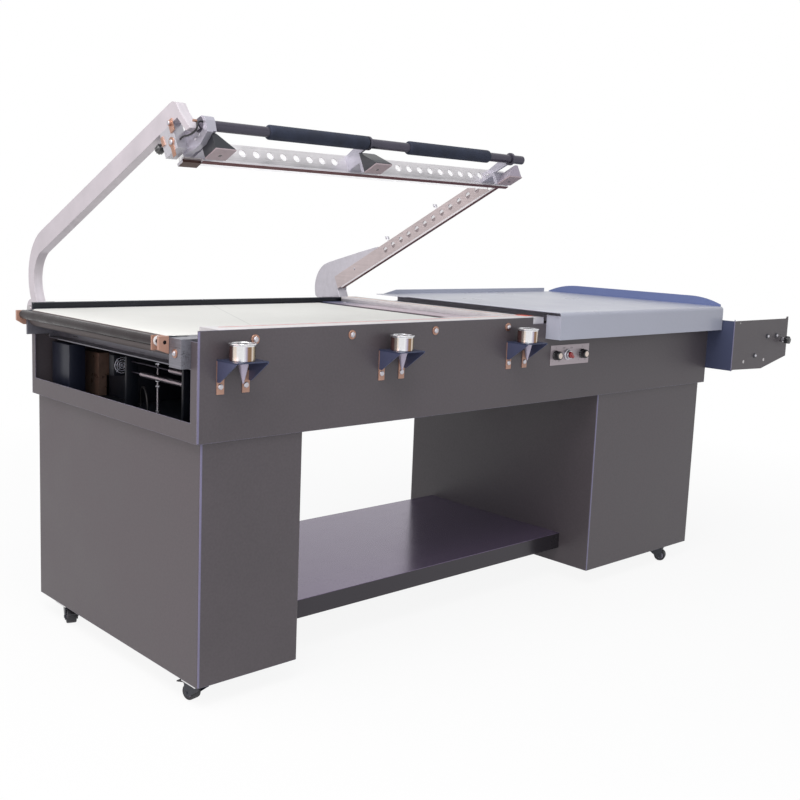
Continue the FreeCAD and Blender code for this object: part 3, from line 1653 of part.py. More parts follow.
def make_bars():
    """The front and side bars: perforated channels that carry the sealing strips."""
    low, high, wall = S.bar_low, S.bar_high, S.bar_wall
    front, rear = S.bar_front, S.bar_front - S.bar_depth
    lip = S.strip_width
    corners = [
        (front, low),
        (front - lip, low),
        (front - lip, low + wall),
        (front - wall, low + wall),
        (front - wall, high - wall),
        (rear + wall, high - wall),
        (rear + wall, S.bar_skirt),
        (rear, S.bar_skirt),
        (rear, high),
        (front, high),
    ]
    length = S.bar_end - S.bar_start
    bar = head_plate("front_bar_channel", corners, length, S.bar_start)
    pitch = S.bar_hole_pitch
    height = S.bar_hole_height
    rows = []
    for name, first, count in (("left", S.front_hole_first, 8), ("right", S.front_hole_second, 10)):
        for index in range(count):
            rows.append(
                head_rod(
                    "front_bar_hole_%s_%d" % (name, index + 1),
                    "y",
                    first + pitch * index,
                    front + 1,
                    height,
                    S.bar_hole_radius,
                    wall + 2,
                )
            )
    node("front_bar", cut("front_bar_drilled", bar, *rows), frame="head")

    start = S.bar_end - S.bar_depth
    depth = S.bar_depth
    corners = [
        (0, low),
        (lip, low),
        (lip, low + wall),
        (wall, low + wall),
        (wall, high - wall),
        (depth - wall, high - wall),
        (depth - wall, S.bar_skirt),
        (depth, S.bar_skirt),
        (depth, high),
        (0, high),
    ]
    length = rear - S.side_bar_rear
    bar = plate("side_bar_channel", "xz", corners, length, (start, -rear, 0))
    hole_row(bar, "yz", (rear - S.side_hole_first - pitch * 11, height), S.bar_hole_radius, pitch, 12, "H_Axis")
    node("side_bar", bar, frame="head")

    under = S.strip_low
    end = S.bar_end
    front_strip = head_block("front_strip", S.strip_start, end, front - lip, front, under, low)
    side_strip = head_block("side_strip", start, start + lip, S.side_bar_rear + 20, front - lip, under, low)
    node("seal_strips", front_strip, side_strip, frame="head")


def catch_start(name):
    """Left side of a catch of the sealing head, over its magnet."""
    shift = 0 if name == "middle" else S.wedge_shift
    return dict(CATCHES)[name] + shift


def make_handle():
    """The handle tube with two foam grips, and the supports that hold it off the front bar."""
    reach, height, radius = S.tube_reach, S.tube_height, S.tube_radius
    start, end = S.tube_start, S.tube_end
    bar = head_rod("handle_bar", "x", start, reach, height, radius, end - start)
    node("handle_tube", bar, frame="head")

    fit = radius + S.bore_gap
    grips = []
    for count, (first, last) in enumerate(
        ((S.grip_first, S.grip_first_end), (S.grip_second, S.grip_second_end)), 1
    ):
        foam = head_rod("grip_foam_%d" % count, "x", first, reach, height, S.grip_radius, last - first)
        hole = head_rod("grip_hole_%d" % count, "x", first - 1, reach, height, fit, last - first + 2)
        grips.append(cut("grip_%d" % count, foam, hole))
    node("foam_grips", *grips, frame="head")

    front = S.bar_front
    crown = height + 14
    shallow = [
        (front, 43),
        (front, crown + 3),
        (reach - 8, crown + 2),
        (reach + 17, crown),
        (reach + 26, crown - 7),
        (reach + 28, height - 3),
        (reach + 24, 43),
    ]
    deep = [
        (front, 38),
        (front, 43),
        (reach + 24, 43),
        (reach + 24, 41),
        (front + 74, 29),
        (front + 48, 29.5),
    ]
    width, start_x = S.handle_block_width, S.bar_start
    gap = S.running_gap
    left = [
        head_plate("left_handle_cheek", shallow, width, start_x),
        head_plate("left_handle_foot", deep, catch_start("left") - gap - start_x, start_x),
    ]
    socket = head_rod("left_handle_socket", "x", start, reach, height, fit, width + 1)
    pieces = [cut("left_handle_block", fused("left_handle_casting", *left), socket)]
    wall = S.support_wall
    rear = S.wedge_rear
    lugs = {"middle": S.grip_first_end + 1, "right": catch_start("right") + S.wedge_width - wall}
    foot_front = front + 46
    for name, _ in CATCHES:
        apex = S.prism_height if name != "middle" else S.wedge_apex + 3
        corners = [
            (front, S.bar_low),
            (front, S.bar_high - 2 if name == "middle" else apex),
            (rear, apex),
            (rear, 5),
            (foot_front, 5),
            (foot_front, S.bar_low),
        ]
        stand_x = catch_start(name)
        width = S.wedge_width
        if name == "left":
            # the stand-off starts where the handle block ends
            stand_x = start_x + S.handle_block_width
            width = width - (stand_x - catch_start(name))
        stand_off = head_plate(name + "_stand_off", corners, width, stand_x)
        if name == "left":
            pieces.append(stand_off)
            continue
        lug_x = lugs[name]
        corners = [
            (front, 62),
            (front, S.bar_high),
            (reach - 6, height + S.support_ring - 1),
            (reach + 14, height - 12),
            (reach, height - 11),
        ]
        arm = head_plate(name + "_lug_plate", corners, wall, lug_x)
        ring = head_rod(name + "_lug_ring", "x", lug_x, reach, height, S.support_ring, wall)
        hole = head_rod(name + "_lug_hole", "x", lug_x - 1, reach, height, fit, wall + 2)
        joined = fused(name + "_lug_joined", stand_off, arm, ring)
        pieces.append(cut(name + "_lug", joined, hole))
    node("handle_supports", *pieces, frame="head")


def make_catches():
    """Three wedge-shaped catch brackets and the armature plates that the magnets hold."""
    wall = S.gusset_wall
    rear, front, apex = S.wedge_rear, S.wedge_front, S.wedge_apex
    low = S.armature_low + S.armature_thickness
    width = S.wedge_width
    wedges, plates = [], []
    for name, _ in CATCHES:
        x = catch_start(name)
        if name == "middle":
            # its face slopes down to the front
            corners = [(front, low), (front, low + 2), (rear + 3, apex), (rear, apex), (rear, low)]
            inner = [(front - wall * 3, low - 1), (rear + wall, apex - wall * 3), (rear + wall, low - 1)]
            outside = head_plate(name + "_wedge_outside", corners, width, x)
            inside = head_plate(name + "_wedge_inside", inner, width - 2 * wall, x + wall)
            wedges.append(cut(name + "_wedge", outside, inside))
        else:
            # the outer catches slope down towards the middle of the bar
            top, high = S.prism_top, S.prism_height
            corners = [(0, low), (width, low), (width, low + 2), (top, high), (0, high)]
            if name == "right":
                corners = [(0, low), (width, low), (width, high), (width - top, high), (0, low + 2)]
            wedges.append(plate(name + "_wedge", "xz", corners, S.wedge_depth - 2, (x, -front + 2, 0)))
        plates.append(head_block(name + "_armature", x, x + width, rear, front, S.armature_low, low))
    node("catch_brackets", *wedges, frame="head")
    node("armature_plates", *plates, frame="head")


def make_left_fittings():
    """Clamp block, wire clamp, tab and tension knob at the left end of the front bar."""
    rear, front = S.clamp_rear, S.clamp_front
    start, low = S.clamp_start, S.clamp_low
    end = S.bar_start
    corners = [(rear, low), (rear, arm_under(rear)), (front, arm_under(front)), (front, low)]
    clamp = head_plate("clamp_casting", corners, end - start, start)
    axis_height = S.wire_knob_height
    bore = S.spindle_radius + S.bore_gap
    hole = head_rod("clamp_bore", "y", S.wire_knob_x, rear + 30, axis_height, bore, 31)
    clamp = cut("clamp_block", clamp, hole)
    edge = head_block("wire_clamp", end, S.strip_start, rear - 2, rear + 22, S.strip_low, S.bar_low)
    tab = head_block("wire_tab", start - 3, start, front - 9, front + 9, 84, 114)
    tab_bolt = head_rod("wire_tab_bolt", "x", start - 8, front, 105, 6, 5)
    washer = head_block("wire_stop", start - 3, start, rear + 2, rear + 12, low + 29, low + 51)
    node("arm_fittings", clamp, edge, fused("wire_tab_bolted", tab, tab_bolt), washer, frame="head")

    reach, x = S.wire_knob_reach, S.wire_knob_x
    radius = S.wire_knob_radius
    hub = head_rod("wire_knob_hub", "y", x, reach + 10, axis_height, radius * 0.8, 20)
    lobes = []
    for count in range(5):
        turn = math.radians(72 * count)
        side = radius * round(0.7 * math.sin(turn), 4)
        rise = radius * round(0.7 * math.cos(turn), 4)
        lobes.append(
            head_rod(
                "wire_knob_lobe_%d" % (count + 1), "y", x + side, reach + 10, axis_height + rise, radius * 0.35, 20
            )
        )
    screw = head_rod("wire_knob_screw", "y", x, rear + 28, axis_height, S.spindle_radius, rear + 20 - reach)
    node("wire_knob", fused("wire_knob_whole", hub, screw, *lobes), frame="head")

    front_face = number(S.clamp_front)
    block_face = SIZES["bar_start"]
    lead = tube(
        "head_lead_tube",
        [
            (33, -front_face, 66),
            (33, -front_face - 15, 66),
            (32, -front_face - 43, 53),
            (31, -front_face - 79, 50),
            (33, -front_face - 79, 70),
            (block_face, -front_face - 79, 70),
        ],
        SIZES["lead_radius"] * 0.6,
    )
    node("head_lead", lead, frame="head")


def make_casters():
    """Four swivel casters under the pedestals, the two at the left with brake pedals."""
    side = S.caster_plate_side
    top = S.pedestal_foot
    plate_low = top - S.caster_plate
    race_low = plate_low - S.caster_race
    crown_low = race_low - S.caster_crown
    radius, width = S.wheel_radius, S.wheel_width
    trail = S.caster_trail
    corners_of = {
        "front_left": (S.left_caster_x, S.front_caster_y, 100),
        "rear_left": (S.left_caster_x, S.rear_caster_y, -110),
        "front_right": (S.right_caster_x, S.front_caster_y, -65),
        "rear_right": (S.right_caster_x, S.rear_caster_y, -100),
    }
    plates = []
    for name, (x, y, yaw) in corners_of.items():
        half = side / 2
        mount = block(name + "_mount", (x - half, y - half, plate_low), (x + half, y + half, top))
        socket = rod(name + "_socket", "z", (x, y, plate_low - 1), 5 + S.bore_gap, S.caster_plate + 2)
        plates.append(cut(name + "_mount_plate", mount, socket))

        pedal_x = trail + 10.5
        gap = S.running_gap
        cheek_gap = width / 2 + S.fork_gap
        cheek_out = cheek_gap + S.fork_wall
        pieces = [
            rod(name + "_race", "z", (0, 0, race_low), 22, S.caster_race),
            rod(name + "_pivot", "z", (0, 0, race_low), 5, S.caster_race + S.caster_plate),
            block(name + "_crown", (-18, -cheek_out, crown_low), (pedal_x - gap, cheek_out, race_low)),
            rod(name + "_axle", "y", (trail, -cheek_out - 2, radius), S.axle_radius, 2 * cheek_out + 4),
        ]
        for hand, cheek_y in (("near", -cheek_out), ("far", cheek_gap)):
            corners = [
                (trail - 8, radius - 8),
                (trail + 8, radius - 8),
                (trail + 8, race_low - 1),
                (-18, race_low - 1),
                (-18, crown_low - 4),
            ]
            pieces.append(
                plate("%s_%s_cheek" % (name, hand), "xz", corners, S.fork_wall, (0, cheek_y, 0))
            )
        swivel = fused(name + "_fork", *pieces)

        bore = S.axle_radius + S.bore_gap
        half_width = width / 2
        tread = [
            (bore, 0),
            (radius * 0.55, 0),
            (radius * 0.6, 2),
            (radius * 0.82, 2),
            (radius * 0.86, 0),
            (radius - 2, 0),
            (radius, 2),
            (radius, width - 2),
            (radius - 2, width),
            (radius * 0.86, width),
            (radius * 0.82, width - 2),
            (radius * 0.6, width - 2),
            (radius * 0.55, width),
            (bore, width),
        ]
        wheel = turned(name + "_wheel", "y", (trail, -half_width, radius), tread)
        caster_parts = [("caster_swivel_" + name, swivel), ("caster_wheel_" + name, wheel)]
        if name.endswith("left"):
            pedal_low = crown_low
            half_pedal = S.pedal_width / 2
            pedal_corners = [
                (pedal_x + 1, pedal_low),
                (pedal_x + S.pedal_length, pedal_low - 6),
                (pedal_x + S.pedal_length, pedal_low - 3),
                (pedal_x + 6, race_low),
                (pedal_x, race_low),
            ]
            pedal = plate(name + "_pedal", "xz", pedal_corners, S.pedal_width, (0, -half_pedal, 0))
            caster_parts.append(("brake_pedal_" + name, pedal))
        for node_name, thing in caster_parts:
            group = doc.addObject("Part::Compound", node_name)
            group.Links = [thing]
            group.Placement = Placement(Vector(), Rotation(Vector(0, 0, 1), yaw))
            put(group, (x - MIDDLE_X, y - MIDDLE_Y, 0))
            nodes.append(group)
    node("caster_plates", *plates)


def build():
    """Make every sub-part of the machine."""
    make_pedestals()
    make_shelf()
    make_panels()
    make_conveyor_bed()
    make_belt()
    make_rollers()
    make_roller_brackets()
    make_drive()
    make_control_box()
    make_rails_and_pads()
    make_magnet_brackets()
    make_magnets()
    make_tray()
    make_controls()
    make_cradle()
    make_bearings()
    make_springs()
    make_leads()
    make_bolts()
    make_arms()
    make_bars()
    make_handle()
    make_catches()
    make_left_fittings()
    make_casters()
    doc.recompute()


def export():
    """Check every object, then write each sub-part to its own file."""
    for thing in doc.Objects:
        bad = {"Invalid", "Error"} & set(thing.State)
        if bad:
            raise RuntimeError("%s is %s" % (thing.Label, ", ".join(bad)))
    for group in nodes:
        if group.Shape.isNull() or not group.Shape.isValid():
            raise RuntimeError("%s has no valid shape" % group.Label)
    os.makedirs("parts", exist_ok=True)
    for group in nodes:
        group.Shape.exportStep("parts/%s.step" % group.Label)
    boxes = [group.Shape.BoundBox for group in nodes]
    print("x %.2f to %.2f" % (min(box.XMin for box in boxes), max(box.XMax for box in boxes)))
    print("y %.2f to %.2f" % (min(box.YMin for box in boxes), max(box.YMax for box in boxes)))
    print("z %.2f to %.2f" % (min(box.ZMin for box in boxes), max(box.ZMax for box in boxes)))
    print("%d sub-parts" % len(nodes))


build()
export()
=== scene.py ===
"""L bar sealer: the finishes, soft pieces and small fittings around its construction.

Places come from the nodes of the frame. Pieces of the sealing head are drawn with the head
closed, in its own axes: x along the machine, y towards the rear and z up, from the hinge.
"""

import json
import math

import bmesh
import bpy
from bpy.props import FloatProperty, FloatVectorProperty, IntProperty, PointerProperty
from mathutils import Euler, Matrix, Vector


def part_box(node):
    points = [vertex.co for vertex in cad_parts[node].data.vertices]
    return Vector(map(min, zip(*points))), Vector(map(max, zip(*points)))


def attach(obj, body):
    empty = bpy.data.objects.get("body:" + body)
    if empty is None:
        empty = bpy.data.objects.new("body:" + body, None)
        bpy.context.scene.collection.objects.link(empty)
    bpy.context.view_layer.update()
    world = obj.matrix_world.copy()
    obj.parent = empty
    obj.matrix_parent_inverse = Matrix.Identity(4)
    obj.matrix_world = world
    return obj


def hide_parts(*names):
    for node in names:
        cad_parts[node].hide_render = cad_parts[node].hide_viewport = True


bl_info = {
    "name": "L bar sealer",
    "version": (1, 0, 0),
    "blender": (4, 5, 0),
    "location": "3D View > Sidebar > Sealer",
    "description": "Dresses the construction of an L bar sealer with its finishes and fittings",
    "category": "Object",
}

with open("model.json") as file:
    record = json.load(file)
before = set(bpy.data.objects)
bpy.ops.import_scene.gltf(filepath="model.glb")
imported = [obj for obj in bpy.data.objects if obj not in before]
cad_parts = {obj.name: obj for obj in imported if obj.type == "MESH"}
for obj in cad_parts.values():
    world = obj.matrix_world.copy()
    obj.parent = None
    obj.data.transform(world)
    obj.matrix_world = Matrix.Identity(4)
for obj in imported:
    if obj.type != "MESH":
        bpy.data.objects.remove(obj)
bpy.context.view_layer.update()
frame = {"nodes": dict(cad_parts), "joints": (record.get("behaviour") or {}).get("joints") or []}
MM = 0.001
FULL_TURN = 2 * math.pi
SHARP_ANGLE = math.radians(32)
LEFT, FRONT, REAR, UP = (Vector(way) for way in ((-1, 0, 0), (0, -1, 0), (0, 1, 0), (0, 0, 1)))


# ---------------------------------------------------------------- places read from the frame

def joint(name):
    """The record's joint of that name."""
    return next(row for row in frame["joints"] if row["name"] == name)


HINGE = joint("head_hinge")
HEAD = Matrix.Translation((0, HINGE["pos_m"][1], HINGE["pos_m"][2]))
HEAD = HEAD @ Matrix.Rotation(-math.radians(HINGE["range_deg"][1]), 4, "X")
FRONT_CORNER = Vector(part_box("front_panel")[0])


def merged(node, into=None):
    """A bmesh copy of a CAD node with its loose triangles joined, in a frame's own axes."""
    shape = bmesh.new()
    shape.from_mesh(frame["nodes"][node].data)
    bmesh.ops.remove_doubles(shape, verts=shape.verts, dist=1e-6)
    if into is not None:
        bmesh.ops.transform(shape, matrix=into.inverted(), verts=shape.verts)
    return shape


def corners(verts):
    """Lowest and highest corners of some vertices."""
    low = Vector([min(vert.co[axis] for vert in verts) for axis in range(3)])
    high = Vector([max(vert.co[axis] for vert in verts) for axis in range(3)])
    return low, high


def solids(node, into=None):
    """The boxes of a node's separate solids, from left to right and front to rear."""
    shape = merged(node, into)
    waiting = set(shape.verts)
    boxes = []
    while waiting:
        edge_of_group = [waiting.pop()]
        group = list(edge_of_group)
        while edge_of_group:
            vert = edge_of_group.pop()
            near = {edge.other_vert(vert) for edge in vert.link_edges} & waiting
            waiting -= near
            edge_of_group.extend(near)
            group.extend(near)
        boxes.append(corners(group))
    shape.free()
    return sorted(boxes, key=lambda box: (round(box[0].x, 3), round(box[0].y, 3), box[0].z))


def middle(box):
    """The middle of a box."""
    return (box[0] + box[1]) / 2


def whole(node):
    """The lowest and highest corners of a node, as vectors."""
    return tuple(Vector(corner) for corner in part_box(node))


def on_plane(node, y):
    """A place on an upright plane, behind the middle of a node."""
    centre = middle(whole(node))
    return Vector((centre.x, y, centre.z))


# ---------------------------------------------------------------- shapes

def lathe(shape, profile, start, axis, steps=32):
    """Spin a profile of (radius, distance along the axis) right round an axis."""
    axis = Vector(axis).normalized()
    side = axis.orthogonal().normalized()
    start = Vector(start)
    verts = [shape.verts.new(start + axis * along + side * radius) for radius, along in profile]
    edges = [shape.edges.new(pair) for pair in zip(verts, verts[1:])]
    bmesh.ops.spin(
        shape, geom=verts + edges, cent=start, axis=axis, angle=FULL_TURN, steps=steps, use_merge=True
    )


def slab(shape, low, high, round_by=0.0, segments=2):
    """A box from corner to corner, with its edges rounded."""
    low, high = Vector(low), Vector(high)
    size = high - low
    place = Matrix.Translation((low + high) / 2) @ Matrix.Diagonal((*size, 1))
    made = bmesh.ops.create_cube(shape, size=1, matrix=place)
    if round_by:
        edges = {edge for vert in made["verts"] for edge in vert.link_edges}
        bmesh.ops.bevel(
            shape, geom=list(edges), offset=round_by, offset_type="OFFSET", affect="EDGES",
            segments=segments, profile=0.5, material=-1,
        )


def hex_prism(shape, place, radius, height):
    """A six-sided prism on a placement's z axis, with its top edges eased."""
    made = bmesh.ops.create_cone(
        shape, cap_ends=True, segments=6, radius1=radius, radius2=radius, depth=height,
        matrix=place @ Matrix.Translation((0, 0, height / 2)),
    )
    top = place @ Vector((0, 0, height))
    rim = {
        edge for vert in made["verts"] for edge in vert.link_edges
        if all((end.co - top).dot(place.col[2].to_3d()) > -1e-7 for end in edge.verts)
    }
    bmesh.ops.bevel(
        shape, geom=list(rim), offset=radius * 0.14, offset_type="OFFSET", affect="EDGES",
        segments=1, profile=0.5, material=-1,
    )


def facing(place, direction):
    """A placement whose z axis points along a direction."""
    return Matrix.Translation(place) @ Vector(direction).to_track_quat("Z", "Y").to_matrix().to_4x4()


def round_run(shape, points, radius, sides=10):
    """A rod through points, with its ends closed."""
    rings = []
    for index, point in enumerate(points):
        before = points[max(index - 1, 0)]
        after = points[min(index + 1, len(points) - 1)]
        made = bmesh.ops.create_circle(
            shape, cap_ends=False, segments=sides, radius=radius, matrix=facing(point, after - before)
        )
        rings.append(made["verts"])
    for first, second in zip(rings, rings[1:]):
        edges = {edge for vert in first + second for edge in vert.link_edges if len(edge.link_faces) < 2}
        chosen = [
            edge for edge in edges
            if all(end in first for end in edge.verts) or all(end in second for end in edge.verts)
        ]
        bmesh.ops.bridge_loops(shape, edges=chosen)
    for ring in (rings[0], rings[-1]):
        shape.faces.new(ring)


def add_piece(shape, name, body, material, stands_for=(), into=None):
    """Make a finished mesh of a shape in a named material, and let it ride on a body."""
    if into is not None:
        bmesh.ops.transform(shape, matrix=into, verts=shape.verts)
    bmesh.ops.remove_doubles(shape, verts=shape.verts, dist=1e-6)
    bmesh.ops.recalc_face_normals(shape, faces=shape.faces)
    mesh = bpy.data.meshes.new(name)
    shape.to_mesh(mesh)
    shape.free()
    mesh.shade_smooth()
    mesh.set_sharp_from_angle(angle=SHARP_ANGLE)
    mesh.materials.append(MATERIALS[material])
    thing = bpy.data.objects.new(name, mesh)
    bpy.context.scene.collection.objects.link(thing)
    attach(thing, body)
    if stands_for:
        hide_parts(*stands_for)
    return thing


def paint(node, material):
    """Give a CAD node a named material."""
    slots = frame["nodes"][node].data.materials
    slots.clear()
    slots.append(MATERIALS[material])


# ---------------------------------------------------------------- shader groups

class Graph:
    """Adds nodes to a shader tree and joins them."""

    def __init__(self, tree):
        self.tree = tree
        self.across = 0

    def add(self, kind, inputs=None, **settings):
        """A new node, with settings, constants and links."""
        node = self.tree.nodes.new(kind)
        node.location = (self.across, 0)
        self.across += 200
        for name, value in settings.items():
            setattr(node, name, value)
        for socket, value in (inputs or {}).items():
            self.put(node.inputs[socket], value)
        return node

    def put(self, socket, value):
        """Set a socket to a constant, or link it."""
        if isinstance(value, bpy.types.NodeSocket):
            self.tree.links.new(value, socket)
        else:
            socket.default_value = value

    def math(self, operation, first, second=0.0):
        """The result of a math node."""
        return self.add("ShaderNodeMath", {0: first, 1: second}, operation=operation).outputs[0]

    def span(self, value, low, high, to_low=0.0, to_high=1.0):
        """A value moved from one range to another, and held inside it."""
        node = self.add("ShaderNodeMapRange", {
            "Value": value, "From Min": low, "From Max": high, "To Min": to_low, "To Max": to_high,
        })
        return node.outputs["Result"]

    def swing(self, value, by=1.0):
        """A noise value turned into a swing either way of nothing."""
        return self.span(value, 0.3, 0.7, -by, by)

    def lighten(self, colour, share):
        """A colour made lighter, or darker, by a share of itself."""
        value = self.math("ADD", share, 1.0)
        return self.add("ShaderNodeHueSaturation", {"Color": colour, "Value": value}).outputs["Color"]

    def vector(self, operation, first, second):
        """The outputs of a vector math node."""
        return self.add("ShaderNodeVectorMath", {0: first, 1: second}, operation=operation).outputs

    def axes(self, place):
        """The X, Y and Z of a place."""
        return self.add("ShaderNodeSeparateXYZ", {0: place}).outputs

    def mix(self, share, first, second):
        """Two colours mixed by a share."""
        node = self.add("ShaderNodeMix", data_type="RGBA")
        for index, value in ((0, share), (6, first), (7, second)):
            self.put(node.inputs[index], value)
        return node.outputs[2]

    def noise(self, vector, scale, detail=2.0, rough=0.5):
        """A noise pattern from 0 to 1."""
        node = self.add("ShaderNodeTexNoise", {
            "Vector": vector, "Scale": scale, "Detail": detail, "Roughness": rough,
        })
        return node.outputs["Fac"]


def new_group(name, inputs, outputs):
    """A shader group with named sockets, and its graph, input and output nodes."""
    tree = bpy.data.node_groups.new(name, "ShaderNodeTree")
    for direction, sockets in (("INPUT", inputs), ("OUTPUT", outputs)):
        for socket_name, kind, default in sockets:
            socket = tree.interface.new_socket(
                name=socket_name, in_out=direction, socket_type="NodeSocket" + kind
            )
            if default is not None:
                socket.default_value = default
    graph = Graph(tree)
    source = graph.add("NodeGroupInput").outputs
    target = graph.add("NodeGroupOutput").inputs
    return graph, source, target


def object_place(graph):
    """Object coordinates, in metres."""
    return graph.add("ShaderNodeTexCoord").outputs["Object"]


def make_grain_group():
    """Orange peel of sprayed powder, with slow changes of tone."""
    graph, given, out = new_group(
        "Powder Grain",
        [("Color", "Color", (0.5, 0.5, 0.5, 1)), ("Pitch", "Float", 450.0), ("Mottle", "Float", 0.1),
         ("Roughness", "Float", 0.45)],
        [("Color", "Color", None), ("Roughness", "Float", None), ("Height", "Float", None)],
    )
    place = object_place(graph)
    peel = graph.noise(place, given["Pitch"], 2.0, 0.6)
    cloud = graph.noise(place, 5.0, 3.0, 0.6)
    fleck = graph.noise(place, 160.0, 1.0, 0.5)
    tone = graph.math("ADD", graph.swing(cloud, 0.6), graph.swing(fleck, 0.5))
    share = graph.math("MULTIPLY", tone, given["Mottle"])
    graph.put(out["Color"], graph.lighten(given["Color"], share))
    graph.put(out["Roughness"], graph.math("ADD", given["Roughness"], graph.swing(cloud, 0.05)))
    graph.put(out["Height"], peel)
    return graph.tree


def make_edge_group():
    """Rounded edges, with a patchy mask along them where a highlight is painted."""
    graph, given, out = new_group(
        "Rubbed Edge",
        [("Radius", "Float", 0.0015), ("Patchiness", "Float", 0.5)],
        [("Mask", "Float", None), ("Normal", "Vector", None)],
    )
    rounded = graph.add("ShaderNodeBevel", {"Radius": given["Radius"]}, samples=4).outputs[0]
    flat = graph.add("ShaderNodeNewGeometry").outputs["Normal"]
    dot = graph.vector("DOT_PRODUCT", rounded, flat)["Value"]
    # Painted highlight: the mask picks out edges from the rounded normal, broken into patches by noise.
    edge = graph.span(dot, 0.985, 0.86)
    patches = graph.noise(object_place(graph), 30.0, 3.0, 0.65)
    cover = graph.span(patches, 0.35, 0.65)
    highlight_gaps = graph.math("MULTIPLY", graph.math("SUBTRACT", 1.0, cover), given["Patchiness"])
    graph.put(out["Mask"], graph.math("MULTIPLY", edge, graph.math("SUBTRACT", 1.0, highlight_gaps)))
    graph.put(out["Normal"], rounded)
    return graph.tree


def make_brush_group():
    """Fine lines of a brushed or drawn metal along one of its axes."""
    graph, given, out = new_group(
        "Drawn Lines",
        [("Color", "Color", (0.6, 0.6, 0.6, 1)), ("Stretch", "Vector", (3.0, 600.0, 600.0)),
         ("Roughness", "Float", 0.35), ("Contrast", "Float", 0.12)],
        [("Color", "Color", None), ("Roughness", "Float", None), ("Height", "Float", None)],
    )
    place = object_place(graph)
    long = graph.vector("MULTIPLY", place, given["Stretch"])[0]
    lines = graph.noise(long, 1.0, 3.0, 0.7)
    stains = graph.noise(place, 14.0, 4.0, 0.65)
    tone = graph.math("ADD", graph.swing(lines), graph.swing(stains))
    share = graph.math("MULTIPLY", tone, given["Contrast"])
    graph.put(out["Color"], graph.lighten(given["Color"], share))
    graph.put(out["Roughness"], graph.math("ADD", given["Roughness"], graph.math("MULTIPLY", share, 0.8)))
    graph.put(out["Height"], lines)
    return graph.tree


def make_cell_group():
    """Small closed cells, as on foam or a cast skin."""
    graph, given, out = new_group(
        "Fine Cells",
        [("Color", "Color", (0.5, 0.5, 0.5, 1)), ("Pitch", "Float", 500.0), ("Contrast", "Float", 0.3)],
        [("Color", "Color", None), ("Height", "Float", None)],
    )
    place = object_place(graph)
    cells = graph.add("ShaderNodeTexVoronoi", {"Vector": place, "Scale": given["Pitch"]}).outputs[0]
    cloud = graph.noise(place, 22.0, 4.0, 0.65)
    tone = graph.math("MULTIPLY", graph.swing(cloud), given["Contrast"])
    graph.put(out["Color"], graph.lighten(given["Color"], tone))
    graph.put(out["Height"], graph.math("ADD", cells, graph.math("MULTIPLY", cloud, 0.6)))
    return graph.tree


def make_weave_group():
    """The fine plain weave of a belt's carcass, as a height."""
    graph, given, out = new_group(
        "Plain Weave",
        [("Pitch", "Float", 700.0)],
        [("Height", "Float", None)],
    )
    place = object_place(graph)
    apart = graph.axes(place)
    over = graph.math("SINE", graph.math("MULTIPLY", apart["X"], given["Pitch"]))
    under = graph.math("SINE", graph.math("MULTIPLY", apart["Y"], given["Pitch"]))
    graph.put(out["Height"], graph.math("MULTIPLY", over, under))
    return graph.tree


GROUPS = {}
MATERIALS = {}


def make_groups():
    """Make each shared shader group once."""
    GROUPS["grain"] = make_grain_group()
    GROUPS["edge"] = make_edge_group()
    GROUPS["brush"] = make_brush_group()
    GROUPS["cell"] = make_cell_group()
    GROUPS["weave"] = make_weave_group()


def use(graph, group, **values):
    """Place a shared group in a material, with its values."""
    node = graph.add("ShaderNodeGroup")
    node.node_tree = GROUPS[group]
    for name, value in values.items():
        graph.put(node.inputs[name], value)
    return node.outputs


def rgba(colour):
    """A colour with full cover."""
    return (*colour[:3], 1.0)


def new_material(name, **constants):
    """Make a material with one shader, and give its graph and the shader's sockets."""
    material = bpy.data.materials.new(name)
    material.use_nodes = True
    tree = material.node_tree
    tree.nodes.clear()
    graph = Graph(tree)
    shader = graph.add("ShaderNodeBsdfPrincipled")
    for key, value in constants.items():
        shader.inputs[key.replace("_", " ")].default_value = value
    output = graph.add("ShaderNodeOutputMaterial")
    tree.links.new(shader.outputs[0], output.inputs[0])
    MATERIALS[name] = material
    return graph, shader.inputs


def relief(graph, sockets, height, depth, strength, normal=None):
    """Feed a height to the shader's normal, over rounded edges where they are given."""
    values = {"Height": height, "Distance": depth, "Strength": strength}
    if normal is not None:
        values["Normal"] = normal
    graph.put(sockets["Normal"], graph.add("ShaderNodeBump", values).outputs[0])


def powder_coat(name, colour, edge_highlight_colour, roughness=0.42, pitch=450.0, mottle=0.12, radius=0.002):
    """Sprayed powder over sheet steel, with a painted highlight along its folds and edges."""
    graph, sockets = new_material(name)
    grain = use(graph, "grain", Color=rgba(colour), Pitch=pitch, Mottle=mottle, Roughness=roughness)
    edge = use(graph, "edge", Radius=radius, Patchiness=0.35)
    # Painted highlight in the edge colour along folds and edges.
    graph.put(sockets["Base Color"], graph.mix(edge["Mask"], grain["Color"], rgba(edge_highlight_colour)))
    graph.put(sockets["Roughness"], grain["Roughness"])
    relief(graph, sockets, grain["Height"], 0.0002, 0.35, edge["Normal"])


def drawn_metal(name, colour, stretch, roughness=0.35, contrast=0.1, radius=0.0008, metallic=1.0):
    """Brushed, drawn or ground metal."""
    graph, sockets = new_material(name, Metallic=metallic)
    lines = use(graph, "brush", Color=rgba(colour), Stretch=stretch, Roughness=roughness,
                Contrast=contrast)
    edge = use(graph, "edge", Radius=radius, Patchiness=0.5)
    # Painted highlight along the edges, in a lighter copy of the metal.
    edge_highlight = rgba([min(1.0, part * 1.25) for part in colour])
    graph.put(sockets["Base Color"], graph.mix(edge["Mask"], lines["Color"], edge_highlight))
    graph.put(sockets["Roughness"], lines["Roughness"])
    relief(graph, sockets, lines["Height"], 0.00005, 0.3, edge["Normal"])


